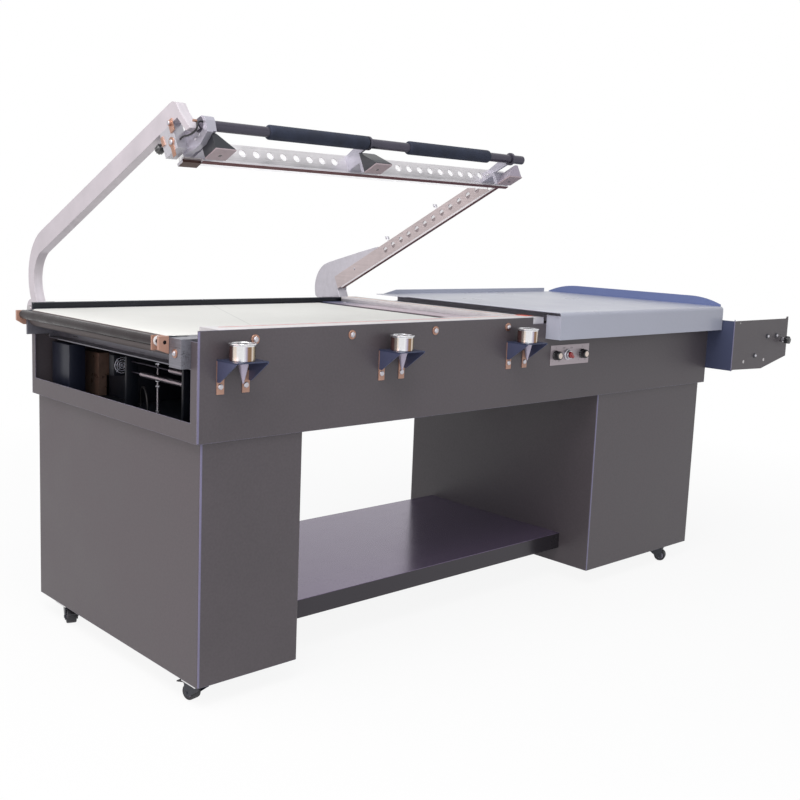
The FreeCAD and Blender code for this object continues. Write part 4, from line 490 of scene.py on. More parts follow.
def moulded(name, colour, roughness=0.35, pitch=900.0, contrast=0.08, depth=0.00006, strength=0.3,
            **constants):
    """Moulded plastic, rubber or foam with a fine skin."""
    graph, sockets = new_material(name, Roughness=roughness, **constants)
    cells = use(graph, "cell", Color=rgba(colour), Pitch=pitch, Contrast=contrast)
    edge = use(graph, "edge", Radius=0.0006, Patchiness=0.5)
    # Painted highlight along the edges, in a lighter copy of the colour.
    bright = rgba([min(1.0, part * 1.6 + 0.01) for part in colour])
    graph.put(sockets["Base Color"], graph.mix(edge["Mask"], cells["Color"], bright))
    relief(graph, sockets, cells["Height"], depth, strength, edge["Normal"])


def make_coats(look):
    """Sprayed coats, each with a painted highlight colour along its edges."""
    powder_coat("charcoal_coat", look.charcoal, look.charcoal_edge_highlight, roughness=0.45)
    powder_coat("black_coat", look.black, [0.05, 0.055, 0.075], roughness=0.4, mottle=0.2)
    # Painted shade: the chamber coat is darkened to stand for the shade inside the frame.
    powder_coat("chamber_coat", look.chamber, [0.02, 0.025, 0.04], roughness=0.5, mottle=0.2)
    powder_coat("relay_coat", look.relay, [0.12, 0.14, 0.2], roughness=0.4, radius=0.001)
    # Painted highlight: the coat of the pale strips on the folds.
    powder_coat("fold_coat", look.fold_highlight, look.fold_highlight, roughness=0.4, mottle=0.1, radius=0.0003)
    powder_coat("tray_coat", look.tray, [0.58, 0.60, 0.72], roughness=0.32, pitch=900.0, mottle=0.03,
                radius=0.001)


def make_metals(look):
    """Bare, plated and chromed metals of one colour."""
    even, drawn = (300.0, 300.0, 300.0), (4.0, 500.0, 500.0)
    drawn_metal("aluminium", look.aluminium, drawn, roughness=0.38, metallic=0.75)
    drawn_metal("side_aluminium", look.side_bar, (500.0, 4.0, 500.0), roughness=0.4, metallic=0.7)
    drawn_metal("arm_aluminium", look.arm, (300.0, 6.0, 6.0), roughness=0.42, metallic=0.6, contrast=0.05)
    drawn_metal("cast_aluminium", look.cast, (60.0, 60.0, 60.0), roughness=0.5, metallic=0.6, contrast=0.06,
                radius=0.003)
    drawn_metal("steel", look.steel, (600.0, 4.0, 600.0), roughness=0.28, contrast=0.14)
    drawn_metal("tube_steel", look.tube, (5.0, 500.0, 500.0), roughness=0.33, contrast=0.12, metallic=0.7)
    drawn_metal("zinc", look.zinc, even, contrast=0.035)
    drawn_metal("armature_metal", look.armature, even, roughness=0.4, contrast=0.03, metallic=0.3)
    drawn_metal("stud_metal", look.stud, even, contrast=0.03, metallic=0.4)
    drawn_metal("brass_zinc", look.brass, even, contrast=0.04)
    drawn_metal("bright_zinc", look.bright, even, roughness=0.3, contrast=0.03, radius=0.0004)
    drawn_metal("cap_metal", look.cap, (200.0, 200.0, 200.0), contrast=0.05, radius=0.0003)
    drawn_metal("spring_wire", look.spring, even, contrast=0.05, radius=0.0002)
    drawn_metal("pale_wire", look.wire, (50.0, 50.0, 50.0), contrast=0.05, radius=0.0002, metallic=0.2)
    # Painted shade and reflection: the roller's steel is painted near black brown.
    drawn_metal("roller_steel", look.roller_dark_reflection, (500.0, 5.0, 500.0), roughness=0.3, contrast=0.15,
                metallic=0.7)
    drawn_metal("bed_steel", look.bed, (400.0, 6.0, 400.0), roughness=0.45, contrast=0.2, metallic=0.6)
    drawn_metal("motor_coat", look.motor, (60.0, 60.0, 60.0), roughness=0.4, contrast=0.2, metallic=0.3)
    drawn_metal("plate_face", look.plate, (5.0, 400.0, 700.0), roughness=0.4, metallic=0.5, contrast=0.05,
                radius=0.0004)


def make_plastics(look):
    """Rubber, foam, tape, ink and moulded parts."""
    moulded("hub_grey", look.hub, roughness=0.4, contrast=0.1)
    moulded("foam", look.foam, roughness=0.85, pitch=420.0, contrast=0.3, depth=0.0008, strength=0.7)
    moulded("pad_rubber", look.pad, roughness=0.6, contrast=0.1)
    moulded("red_tape", look.red_line, roughness=0.5, contrast=0.15)
    moulded("orange_tape", look.orange_line, roughness=0.5, contrast=0.15)
    moulded("red_block", look.red_block, roughness=0.45, contrast=0.12)
    moulded("cable", look.cable, roughness=0.45, contrast=0.15)
    moulded("knob_black", look.knob, roughness=0.25, contrast=0.1, Coat_Weight=0.4)
    moulded("knob_red", look.red_knob, roughness=0.22, contrast=0.08, Coat_Weight=0.5)
    moulded("tyre", look.tyre, roughness=0.6, contrast=0.2)
    moulded("mark_ink", look.ink, roughness=0.6)
    moulded("white_cap", look.white, roughness=0.45)
    # Painted light: a glowing white sheet, no lamp.
    moulded("liner", look.white, roughness=0.6, Emission_Color=(1, 1, 1, 1), Emission_Strength=0.45)


def make_split_metals(look):
    """Finishes whose colour changes from place to place, with painted shade, painted reflections and a
    painted sheen among them.
    """
    left = FRONT_CORNER.x
    # Black catches on the left and in the middle, and a pale one on the right.
    split_metal("catch_finish", "X", left + 0.9, look.catch, look.pale_catch, metallic=0.1, roughness=0.35)
    # A pale tray lip behind, and a deep blue one at the end: painted shade on the tray's own paint.
    split_metal("lip_coat", "X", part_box("tray_lips")[1][0] - 0.02, look.rear_lip, look.end_lip_shade, metallic=0.0,
                roughness=0.4)
    # Charcoal edges of the shelf, and its top painted a lighter mauve: a painted reflection on the satin
    # coat.
    split_metal("shelf_coat", "Z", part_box("storage_shelf")[1][2] - 0.001, look.shelf_edge, look.shelf,
                metallic=0.5, roughness=0.2)
    # The left flange of the charcoal cradle plates painted navy: painted shade on the face turned from the
    # light.
    split_metal("cradle_finish", "X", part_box("cradle_brackets")[0][0] + 0.0036, look.flange_shade, look.charcoal,
                metallic=0.0, roughness=0.45)
    # A coppery angle at the left end, and black brackets.
    split_metal("roller_bracket_finish", "X", left - 0.0255, look.brass, look.black, metallic=0.1,
                roughness=0.4)

    def bracket_colour(graph):
        # Painted reflections on the plated brackets: navy gussets, yellow tabs and dark shelf plates.
        navy_reflection = split_by(graph, "Y", FRONT_CORNER.y - 0.0026, rgba(look.navy_reflection), rgba(look.brass))
        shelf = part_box("magnet_brackets")[1][2] - 0.0034
        return split_by(graph, "Z", shelf, navy_reflection, rgba(look.shelf_plate_reflection))

    def fitting_colour(graph):
        edge = left + 0.0198
        clamp = split_by(graph, "X", edge, rgba(look.brass), rgba(look.bright))
        return split_by(graph, "X", edge + 0.0295, clamp, rgba(look.strap_end))

    def rail_colour(graph):
        rear = FRONT_CORNER.y + 0.8565
        share = graph.span(graph.axes(object_place(graph))["Y"], rear - 0.22, rear - 0.02)
        side = graph.mix(share, rgba(look.rail_sheen), rgba(look.navy_reflection))
        return split_by(graph, "Y", rear, side, rgba(look.black))

    def strip_colour(graph):
        offset = graph.vector("SUBTRACT", object_place(graph), HEAD.translation)[0]
        height = graph.vector("DOT_PRODUCT", offset, HEAD.col[2].to_3d())["Value"]
        share = graph.math("GREATER_THAN", height, 0.0285)
        return graph.mix(share, rgba(look.strip), rgba(look.aluminium))

    def support_colour(graph):
        tube = HEAD @ Vector((0, -0.965, 0.071))
        apart = graph.axes(object_place(graph))
        flat = graph.add("ShaderNodeCombineXYZ", {"Y": apart["Y"], "Z": apart["Z"]}).outputs[0]
        away = graph.vector("DISTANCE", flat, Vector((0, tube.y, tube.z)))["Value"]
        share = graph.math("GREATER_THAN", away, 0.0186)
        return graph.mix(share, rgba(look.tube), rgba(look.support))

    # Plated magnet brackets with painted reflections: yellow tabs, navy gussets and dark shelf plates.
    finish_metal("bracket_finish", bracket_colour, metallic=0.35, roughness=0.35)
    # A yellow tab and strap on a bright clamp block, and the strap's dark end.
    finish_metal("fitting_finish", fitting_colour, metallic=0.6, roughness=0.3)
    # A black rail behind, and a side rail of the same dark paint with a painted mauve sheen that darkens
    # towards it.
    finish_metal("rail_finish", rail_colour, metallic=0.1, roughness=0.4)
    # Sealing strips in their bars' metal, over a dark covered underside.
    finish_metal("strip_finish", strip_colour, metallic=0.3, roughness=0.45)
    # Handle blocks with tube-dark rings round the handle tube.
    finish_metal("support_finish", support_colour, metallic=0.5, roughness=0.38)


def make_materials(look):
    """Every finish of the machine."""
    make_groups()
    make_coats(look)
    make_metals(look)
    make_plastics(look)
    make_split_metals(look)
    make_chrome_material(look)
    make_belt_material(look)


def make_belt_material(look):
    """White belt with a faint weave, handling marks and the slanting line of its splice; painted dark brown
    below its top as painted shade.
    """
    graph, sockets = new_material("belt_fabric", Roughness=0.55)
    place = object_place(graph)
    smudge = graph.noise(place, 7.0, 4.0, 0.6)
    apart = graph.axes(place)
    along = graph.math("SUBTRACT", apart["X"], graph.math("MULTIPLY", apart["Y"], look.splice_slant))
    off = graph.math("ABSOLUTE", graph.math("SUBTRACT", along, look.splice_x))
    line = graph.span(off, 0.0015, 0.003, 1.0, 0.0)
    clean = graph.mix(graph.span(smudge, 0.5, 0.75, 0.0, 0.35), rgba(look.belt), rgba(look.belt_mark))
    top = graph.mix(graph.math("MULTIPLY", line, 0.5), clean, rgba(look.belt_line))
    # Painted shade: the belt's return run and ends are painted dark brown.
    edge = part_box("conveyor_belt")[1][2] - 0.003
    graph.put(sockets["Base Color"], split_by(graph, "Z", edge, rgba(look.belt_underside_shade), top))
    weave = use(graph, "weave", Pitch=2600.0)
    relief(graph, sockets, weave["Height"], 0.00006, 0.4)


def make_chrome_material(look):
    """Chromed cups with a painted reflection: upright streaks of what stands round them, painted round each
    cup.
    """
    graph, sockets = new_material("striped_chrome", Metallic=0.9, Roughness=0.16)
    turn = graph.add("ShaderNodeAttribute", attribute_name="turn").outputs["Fac"]
    ramp = graph.add("ShaderNodeValToRGB", {"Fac": graph.span(turn, -math.pi, math.pi)})
    steps = ramp.color_ramp.elements
    steps[0].position, steps[0].color = 0.0, rgba(look.reflected_brown)
    steps[1].position, steps[1].color = 1.0, rgba(look.reflected_brown)
    reflection_streaks = (
        (look.reflected_brown, 0.12, 0.25), (look.reflected_light, 0.275, 0.32), (look.white, 0.34, 0.40),
        (look.chrome, 0.42), (look.stud, 0.455), (look.reflected_dark, 0.475, 0.515),
        (look.reflected_light, 0.535), (look.reflected_olive, 0.56, 0.64),
    )
    for colour, *places in reflection_streaks:
        for place in places:
            steps.new(place).color = rgba(colour)
    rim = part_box("magnets")[1][2] - 0.006
    graph.put(sockets["Base Color"], split_by(graph, "Z", rim, ramp.outputs[0], rgba(look.chrome)))
    lines = use(graph, "brush", Stretch=(3.0, 3.0, 300.0), Contrast=0.05)
    relief(graph, sockets, lines["Height"], 0.00002, 0.2)


def split_by(graph, axis, place, first, second):
    """One colour below a place on an axis, and another above it."""
    share = graph.math("GREATER_THAN", graph.axes(object_place(graph))[axis], place)
    return graph.mix(share, first, second)


def finish_metal(name, colour_of, roughness=0.3, metallic=0.6, radius=0.0008):
    """A metal whose colour changes from place to place, with a painted highlight along its edges."""
    graph, sockets = new_material(name, Metallic=metallic, Roughness=roughness)
    lines = use(graph, "brush", Color=(0.5, 0.5, 0.5, 1), Stretch=(300.0, 300.0, 300.0),
                Roughness=roughness, Contrast=0.035)
    edge = use(graph, "edge", Radius=radius, Patchiness=0.4)
    tone = graph.add("ShaderNodeMix", data_type="RGBA", blend_type="OVERLAY")
    for index, value in ((0, 0.5), (6, colour_of(graph)), (7, lines["Color"])):
        graph.put(tone.inputs[index], value)
    mixed = tone.outputs[2]
    # Painted highlight along the edges.
    graph.put(sockets["Base Color"], graph.mix(edge["Mask"], mixed, graph.lighten(mixed, 0.6)))
    graph.put(sockets["Roughness"], lines["Roughness"])
    relief(graph, sockets, lines["Height"], 0.00005, 0.05, edge["Normal"])


def split_metal(name, axis, place, first, second, **values):
    """A metal with one colour up to a place on an axis, and another past it."""
    def colour_of(graph):
        return split_by(graph, axis, place, rgba(first), rgba(second))

    finish_metal(name, colour_of, **values)


# ---------------------------------------------------------------- sizes and colours

def colour_value(name, description, default):
    """A colour that a user can change."""
    return FloatVectorProperty(
        name=name, description=description, default=default, subtype="COLOR", size=3, min=0.0, max=1.0
    )


def length_value(name, description, default):
    """A length that a user can change."""
    return FloatProperty(name=name, description=description, default=default, unit="LENGTH")


class SealerLook(bpy.types.PropertyGroup):
    """Colours of the machine's finishes."""

    charcoal: colour_value("Charcoal coat", "Coat of the pedestals and panels", (0.078, 0.066, 0.074))
    # Painted highlight along the charcoal coat's folds.
    charcoal_edge_highlight: colour_value("Coat edge", "Coat along the folds", (0.30, 0.29, 0.42))
    shelf_edge: colour_value("Shelf edge", "Edges and underside of the shelf", (0.045, 0.040, 0.048))
    # Painted shade of the cradle plate's left flange.
    flange_shade: colour_value("Flange", "Flange of the cradle plate", (0.05, 0.06, 0.115))
    # Painted highlight of the folds.
    fold_highlight: colour_value("Folds", "Bright folds of the sheet steel", (0.19, 0.175, 0.28))
    # Painted reflection on the shelf's top.
    shelf: colour_value("Shelf coat", "Satin coat of the storage shelf", (0.20, 0.15, 0.25))
    black: colour_value("Black coat", "Coat of the rails and brackets", (0.016, 0.018, 0.028))
    # Painted shade inside the frame.
    chamber: colour_value("Chamber coat", "Coat inside the frame", (0.004, 0.006, 0.012))
    tray: colour_value("Tray coat", "Smooth coat of the product tray", (0.42, 0.43, 0.51))
    # Painted shade of the end lip.
    end_lip_shade: colour_value("End lip", "Lip at the tray's end", (0.14, 0.18, 0.36))
    aluminium: colour_value("Bar aluminium", "Brushed front bar", (0.66, 0.64, 0.66))
    side_bar: colour_value("Side aluminium", "Brushed side bar", (0.50, 0.43, 0.435))
    arm: colour_value("Arm aluminium", "Painted left arm", (0.58, 0.54, 0.58))
    cast: colour_value("Cast aluminium", "Right arm casting", (0.53, 0.51, 0.56))
    steel: colour_value("Roller steel", "Ground rollers and shafts", (0.45, 0.43, 0.44))
    tube: colour_value("Tube steel", "Handle tube", (0.07, 0.065, 0.088))
    zinc: colour_value("Zinc", "Zinc plated fasteners", (0.72, 0.71, 0.72))
    brass: colour_value("Yellow zinc", "Yellow passivated tabs and washers", (0.42, 0.24, 0.18))
    chrome: colour_value("Chrome", "Magnet cups", (0.80, 0.80, 0.82))
    # Painted reflections on the chrome cups.
    reflected_dark: colour_value("Dark streak", "Dark streaks of the cups", (0.25, 0.15, 0.09))
    reflected_brown: colour_value("Brown streak", "Brown streaks of the cups", (0.30, 0.16, 0.15))
    reflected_light: colour_value("Light streak", "Light streaks of the cups", (0.70, 0.62, 0.55))
    bright: colour_value("Bright zinc", "Bolt heads and small steel", (0.50, 0.49, 0.53))
    cap: colour_value("Knob cap", "Metal caps of the knobs", (0.62, 0.53, 0.48))
    spring: colour_value("Spring wire", "Balance springs", (0.42, 0.40, 0.44))
    wire: colour_value("Guard wire", "Fan guard", (0.62, 0.65, 0.74))
    # Painted shade and reflection on the transfer roller.
    roller_dark_reflection: colour_value("Roller", "Transfer roller", (0.022, 0.015, 0.017))
    relay: colour_value("Relay coat", "Relay cabinet", (0.012, 0.015, 0.030))
    hub: colour_value("Hub", "Hubs of the caster wheels", (0.26, 0.24, 0.30))
    # Painted reflections on the plated magnet brackets.
    navy_reflection: colour_value("Gusset", "Gussets of the magnet brackets", (0.085, 0.095, 0.17))
    shelf_plate_reflection: colour_value("Shelf plate", "Top plates of the magnet brackets", (0.04, 0.05, 0.10))
    catch: colour_value("Catch", "Left and middle catches", (0.020, 0.022, 0.028))
    pale_catch: colour_value("Pale catch", "Right catch", (0.30, 0.26, 0.32))
    rear_lip: colour_value("Rear lip", "Lip behind the tray", (0.42, 0.44, 0.53))
    armature: colour_value("Armature", "Plates that the magnets hold", (0.34, 0.27, 0.29))
    stud: colour_value("Stud", "Cones under the magnet cups", (0.42, 0.38, 0.48))
    # Painted sheen of the side rail.
    rail_sheen: colour_value("Side rail", "Rail along the belt's right end", (0.46, 0.38, 0.43))
    # Painted shade of the belt's underside and ends.
    belt_underside_shade: colour_value("Belt underside", "Return run and ends of the belt", (0.07, 0.055, 0.055))
    strap_end: colour_value("Strap end", "End of the left strap", (0.07, 0.035, 0.028))
    support: colour_value("Handle blocks", "Blocks that carry the handle tube", (0.40, 0.39, 0.45))
    reflected_olive: colour_value("Olive streak", "Olive streaks of the cups", (0.36, 0.29, 0.20))
    bed: colour_value("Bed steel", "Side boxes of the conveyor bed", (0.20, 0.20, 0.23))
    motor: colour_value("Motor coat", "Gear motor", (0.20, 0.13, 0.10))
    foam: colour_value("Foam", "Handle grips", (0.014, 0.019, 0.038))
    pad: colour_value("Pad", "Seal pad rubber", (0.62, 0.60, 0.60))
    red_line: colour_value("Red line", "Seal line of the front pad", (0.62, 0.055, 0.035))
    orange_line: colour_value("Orange line", "Seal line of the side pad", (0.72, 0.28, 0.17))
    red_block: colour_value("Red block", "End blocks of the pads", (0.70, 0.10, 0.05))
    strip: colour_value("Strip tape", "Cover of the sealing strips", (0.10, 0.025, 0.03))
    cable: colour_value("Cable", "Leads", (0.010, 0.010, 0.012))
    knob: colour_value("Knob", "Black knobs", (0.012, 0.012, 0.014))
    red_knob: colour_value("Red knob", "Selector lever", (0.30, 0.004, 0.008))
    tyre: colour_value("Tyre", "Caster tyres", (0.025, 0.025, 0.03))
    ink: colour_value("Ink", "Marks on the control plate", (0.03, 0.03, 0.035))
    white: colour_value("White cap", "Light plastic caps", (0.75, 0.75, 0.76))
    belt: colour_value("Belt", "Conveyor belt", (0.70, 0.70, 0.67))
    belt_mark: colour_value("Belt marks", "Handling marks on the belt", (0.63, 0.62, 0.59))
    belt_line: colour_value("Belt splice", "Slanting line of the splice", (0.45, 0.45, 0.44))
    plate: colour_value("Control plate", "Face of the controls", (0.40, 0.345, 0.37))
    splice_x: length_value("Splice place", "Where the splice crosses the middle of the belt", -0.84)
    splice_slant: FloatProperty(name="Splice slant", description="Slant of the splice", default=0.45)


class SealerStage(bpy.types.PropertyGroup):
    """Camera, lamps and floor."""

    eye: FloatVectorProperty(
        name="Camera place", description="Where the camera stands", subtype="TRANSLATION", unit="LENGTH",
        default=(-2.547, -2.5000, 1.1598),
    )
    aim: FloatVectorProperty(
        name="Camera turn", description="Which way the camera looks", subtype="EULER",
        default=(math.radians(81.6003), math.radians(-2.2941), math.radians(-42.7746)),
    )
    lens: FloatProperty(name="Lens", description="Focal length in millimetres", default=47.96)
    shift_x: FloatProperty(name="Shift across", description="Camera shift across", default=0.0022)
    shift_y: FloatProperty(name="Shift up", description="Camera shift up", default=-0.0172)
    top_power: FloatProperty(
        name="Top lamp", description="Power of the top lamp", default=92.0, unit="POWER"
    )
    front_power: FloatProperty(
        name="Front lamp", description="Power of the front lamp", default=36.0, unit="POWER"
    )
    side_power: FloatProperty(
        name="Side lamp", description="Power of the left lamp", default=18.0, unit="POWER"
    )
    sky: FloatProperty(name="Sky", description="Strength of the even light", default=0.42)
    floor_glow: FloatProperty(
        name="Floor glow", description="How much the floor near the machine fades to white", default=0.9
    )


def see_through_white(graph, glow, shade):
    """Mix to plain white for rays that see the floor or the sky directly or in a reflection."""
    path = graph.add("ShaderNodeLightPath").outputs
    seen = graph.math("MAXIMUM", path["Is Camera Ray"], path["Is Glossy Ray"])
    seen = graph.math("MAXIMUM", seen, path["Is Transmission Ray"])
    white = graph.add("ShaderNodeEmission", {"Color": (1, 1, 1, 1), "Strength": 1.0}).outputs[0]
    share = graph.math("MULTIPLY", seen, glow)
    return graph.add("ShaderNodeMixShader", {0: share, 1: shade, 2: white}).outputs[0]


def add_lamp(name, place, target, size, power, colour):
    """A soft area lamp that points at a target."""
    data = bpy.data.lights.new(name, "AREA")
    data.shape = "RECTANGLE"
    data.size, data.size_y = size
    data.energy = power
    data.color = colour
    lamp = bpy.data.objects.new(name, data)
    lamp.location = place
    lamp.rotation_euler = (Vector(target) - Vector(place)).to_track_quat("-Z", "Y").to_euler()
    bpy.context.scene.collection.objects.link(lamp)


class SEALER_OT_stage(bpy.types.Operator):
    """Floor, sky, lamps and camera"""

    bl_idname = "sealer.stage"
    bl_label = "Stage"

    def execute(self, context):
        scene = context.scene
        stage = scene.sealer_stage
        floor_mesh = bmesh.new()
        bmesh.ops.create_grid(floor_mesh, x_segments=1, y_segments=1, size=30)
        mesh = bpy.data.meshes.new("floor")
        floor_mesh.to_mesh(mesh)
        floor_mesh.free()
        floor = bpy.data.objects.new("floor", mesh)
        scene.collection.objects.link(floor)
        material = bpy.data.materials.new("floor_paint")
        material.use_nodes = True
        material.node_tree.nodes.clear()
        graph = Graph(material.node_tree)
        output = graph.add("ShaderNodeOutputMaterial")
        shade = graph.add("ShaderNodeBsdfDiffuse", {"Color": (0.9, 0.9, 0.9, 1)}).outputs[0]
        away = graph.vector("LENGTH", object_place(graph), (0, 0, 0))["Value"]
        glow = graph.span(away, 1.2, 3.2, stage.floor_glow, 1.0)
        graph.put(output.inputs[0], see_through_white(graph, glow, shade))
        mesh.materials.append(material)

        world = bpy.data.worlds.new("studio")
        world.use_nodes = True
        world.node_tree.nodes.clear()
        graph = Graph(world.node_tree)
        output = graph.add("ShaderNodeOutputWorld")
        even = graph.add("ShaderNodeBackground", {"Color": (0.93, 0.96, 1, 1), "Strength": stage.sky})
        graph.put(output.inputs[0], see_through_white(graph, 1.0, even.outputs[0]))
        scene.world = world

        target = (0, 0, 0.7)
        add_lamp("top_lamp", (-2.0, -0.8, 3.4), target, (2.8, 2.4), stage.top_power, (1, 0.99, 0.98))
        add_lamp("front_lamp", (-2.8, -3.8, 1.6), target, (3.0, 2.0), stage.front_power, (0.92, 0.95, 1))
        add_lamp("left_lamp", (-4.2, -0.4, 1.3), target, (2.4, 2.0), stage.side_power, (1, 0.66, 0.62))

        data = bpy.data.cameras.new("camera")
        data.lens = stage.lens
        data.sensor_width = 36
        data.shift_x = stage.shift_x
        data.shift_y = stage.shift_y
        camera = bpy.data.objects.new("camera", data)
        camera.location = stage.eye
        camera.rotation_euler = Euler(stage.aim)
        scene.collection.objects.link(camera)
        scene.camera = camera
        scene.view_settings.view_transform = "Standard"
        return {"FINISHED"}


class SEALER_OT_finishes(bpy.types.Operator):
    """Give every CAD node its finished material"""

    bl_idname = "sealer.finishes"
    bl_label = "Finishes"

    finishes = {
        "charcoal_coat": (
            "left_pedestal", "right_pedestal", "front_panel", "rear_panel", "end_frames",
        ),
        "cradle_finish": ("cradle_brackets",),
        "shelf_coat": ("storage_shelf",),
        # Painted shade: the darkened chamber coat.
        "chamber_coat": ("bottom_pan",),
        "black_coat": ("bearing_blocks",),
        "rail_finish": ("belt_rails",),
        "roller_bracket_finish": ("roller_brackets",),
        "support_finish": ("handle_supports",),
        "armature_metal": ("armature_plates",),
        "catch_finish": ("catch_brackets",),
        "bracket_finish": ("magnet_brackets",),
        "fitting_finish": ("arm_fittings",),
        "tray_coat": ("product_tray",),
        "lip_coat": ("tray_lips",),
        "bed_steel": ("conveyor_bed",),
        "belt_fabric": ("conveyor_belt",),
        "motor_coat": ("gear_motor",),
        "steel": (
            "drive_roller", "idler_roller", "drive_chain", "hinge_shaft",
            "cradle_roller_inner", "cradle_roller_outer",
        ),
        "tube_steel": ("handle_tube",),
        "roller_steel": ("transfer_roller",),
        "aluminium": ("front_bar", "pad_clamps"),
        "side_aluminium": ("side_bar",),
        "arm_aluminium": ("left_arm",),
        "cast_aluminium": ("right_arm",),
        "zinc": ("caster_plates",),
        "strip_finish": ("seal_strips",),
        "pad_rubber": ("seal_pads",),
        "plate_face": ("control_plate",),
    }

    def execute(self, context):
        make_materials(context.scene.sealer_look)
        for name, nodes in self.finishes.items():
            for node in nodes:
                paint(node, name)
        for node in frame["nodes"]:
            if node.startswith("caster_swivel"):
                paint(node, "black_coat")
            elif node.startswith("caster_wheel") or node.startswith("brake_pedal"):
                paint(node, "tyre")
        return {"FINISHED"}


# ---------------------------------------------------------------- fittings of the frame

def at(x, y, z):
    """A place on the machine: millimetres from the front panel's lower left corner."""
    return FRONT_CORNER + Vector((x, y, z)) * MM


def on_head(x, y, z):
    """A place on the closed sealing head: millimetres from the hinge, x as on the machine."""
    return Vector((FRONT_CORNER.x + x * MM, y * MM, z * MM))


def scaled(profile):
    """A profile in millimetres, made metres."""
    return [(radius * MM, along * MM) for radius, along in profile]


def seat_of(box):
    """Foot, outward way, radius and height of a fastener from its box."""
    size = box[1] - box[0]
    axis = min(range(3), key=lambda index: size[index])
    place = middle(box)
    sign = 1 if axis == 2 or place[axis] > 0 else -1
    way = Vector([sign if index == axis else 0 for index in range(3)])
    radius = (size.x + size.y + size.z - size[axis]) / 4
    return place - way * size[axis] / 2, way, radius, size[axis]


def dome(shape, foot, way, radius, height):
    """A domed bolt head."""
    profile = [
        (0, 0), (radius, 0), (radius, height * 0.35), (radius * 0.86, height * 0.72),
        (radius * 0.5, height * 0.95), (0, height),
    ]
    lathe(shape, profile, foot, way, 20)


def ring(shape, foot, way, inside, outside, height):
    """A flat washer with eased edges."""
    ease = min(height * 0.3, 0.0005)
    profile = [
        (inside, 0), (outside, 0), (outside, height - ease), (outside - ease, height), (inside, height),
        (inside, 0),
    ]
    lathe(shape, profile, foot, way, 28)


def flute(shape, start, axis, teeth, depth, least):
    """Press flutes into a turned knob, outside a least radius."""
    axis = Vector(axis).normalized()
    side = axis.orthogonal().normalized()
    other = axis.cross(side)
    for vert in shape.verts:
        offset = vert.co - start
        flat = offset - axis * offset.dot(axis)
        if flat.length > least:
            angle = math.atan2(flat.dot(other), flat.dot(side))
            vert.co -= flat.normalized() * depth * (0.5 - 0.5 * math.cos(angle * teeth))


def coil(shape, start, axis, radius, wire, length, turns):
    """A helical spring of round wire."""
    axis = Vector(axis).normalized()
    side = axis.orthogonal().normalized()
    steps = turns * 12
    place = facing(start + side * radius, axis.cross(side))
    made = bmesh.ops.create_circle(shape, cap_ends=False, segments=5, radius=wire, matrix=place)
    edges = list({edge for vert in made["verts"] for edge in vert.link_edges})
    bmesh.ops.spin(
        shape, geom=made["verts"] + edges, cent=start, axis=axis, dvec=axis * (length / steps),
        angle=FULL_TURN * turns, steps=steps, use_merge=False,
    )


def words_on(shape, words, size, place):
    """Flat letters on a placement, made a mesh."""
    curve = bpy.data.curves.new(words, "FONT")
    curve.body = words
    curve.size = size
    curve.align_x = "CENTER"
    curve.align_y = "CENTER"
    curve.extrude = 0.00004
    curve.resolution_u = 2
    thing = bpy.data.objects.new(words, curve)
    bpy.context.scene.collection.objects.link(thing)
    shown = thing.evaluated_get(bpy.context.evaluated_depsgraph_get())
    mesh = bpy.data.meshes.new_from_object(shown)
    mesh.transform(place)
    shape.from_mesh(mesh)
    bpy.data.meshes.remove(mesh)
    bpy.data.objects.remove(thing)
    bpy.data.curves.remove(curve)


class SEALER_OT_fasteners(bpy.types.Operator):
    """Domed bolts and their washers"""

    bl_idname = "sealer.fasteners"
    bl_label = "Fasteners"

    def execute(self, context):
        washer, cap, tallest_dome = 0.002, 0.0022, 0.005
        heads, washers, dark = bmesh.new(), bmesh.new(), bmesh.new()
        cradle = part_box("cradle_brackets")[0][0]
        for box in solids("machine_bolts"):
            foot, way, radius, height = seat_of(box)
            if height > tallest_dome:
                ring(dark if foot.x > cradle else washers, foot, way, radius * 0.4, radius, washer)
                hex_prism(heads, facing(foot + way * washer, way), radius * 0.64, height - 2 * washer)
                dome(heads, foot + way * (height - cap), way, radius * 0.5, cap)
            else:
                dome(heads, foot, way, radius, height)
        if not heads.faces:
            raise RuntimeError("no fastener was found")
        add_piece(heads, "bolt_heads", "frame", "bright_zinc", ["machine_bolts"])
        add_piece(washers, "bolt_washers", "frame", "brass_zinc")
        if dark.faces:
            add_piece(dark, "cradle_washers", "frame", "black_coat")
        return {"FINISHED"}


class SEALER_OT_fold_highlights(bpy.types.Operator):
    """Painted highlights: thin pale strips along the sheet steel's front left folds"""

    bl_idname = "sealer.folds"
    bl_label = "Folds"

    def execute(self, context):
        fold_highlights = bmesh.new()
        proud, deep, short_by = Vector((0.0003, 0.0003, 0)), 0.001, 0.002
        for node in ("front_panel", "left_pedestal", "right_pedestal", "cradle_brackets"):
            wide = 0.004 if node == "cradle_brackets" else 0.005
            low, high = whole(node)
            start = low - proud + UP * short_by
            slab(fold_highlights, start, (low.x + wide, low.y + deep, high.z - short_by), 0.0001)
        add_piece(fold_highlights, "fold_edges", "frame", "fold_coat")
        return {"FINISHED"}


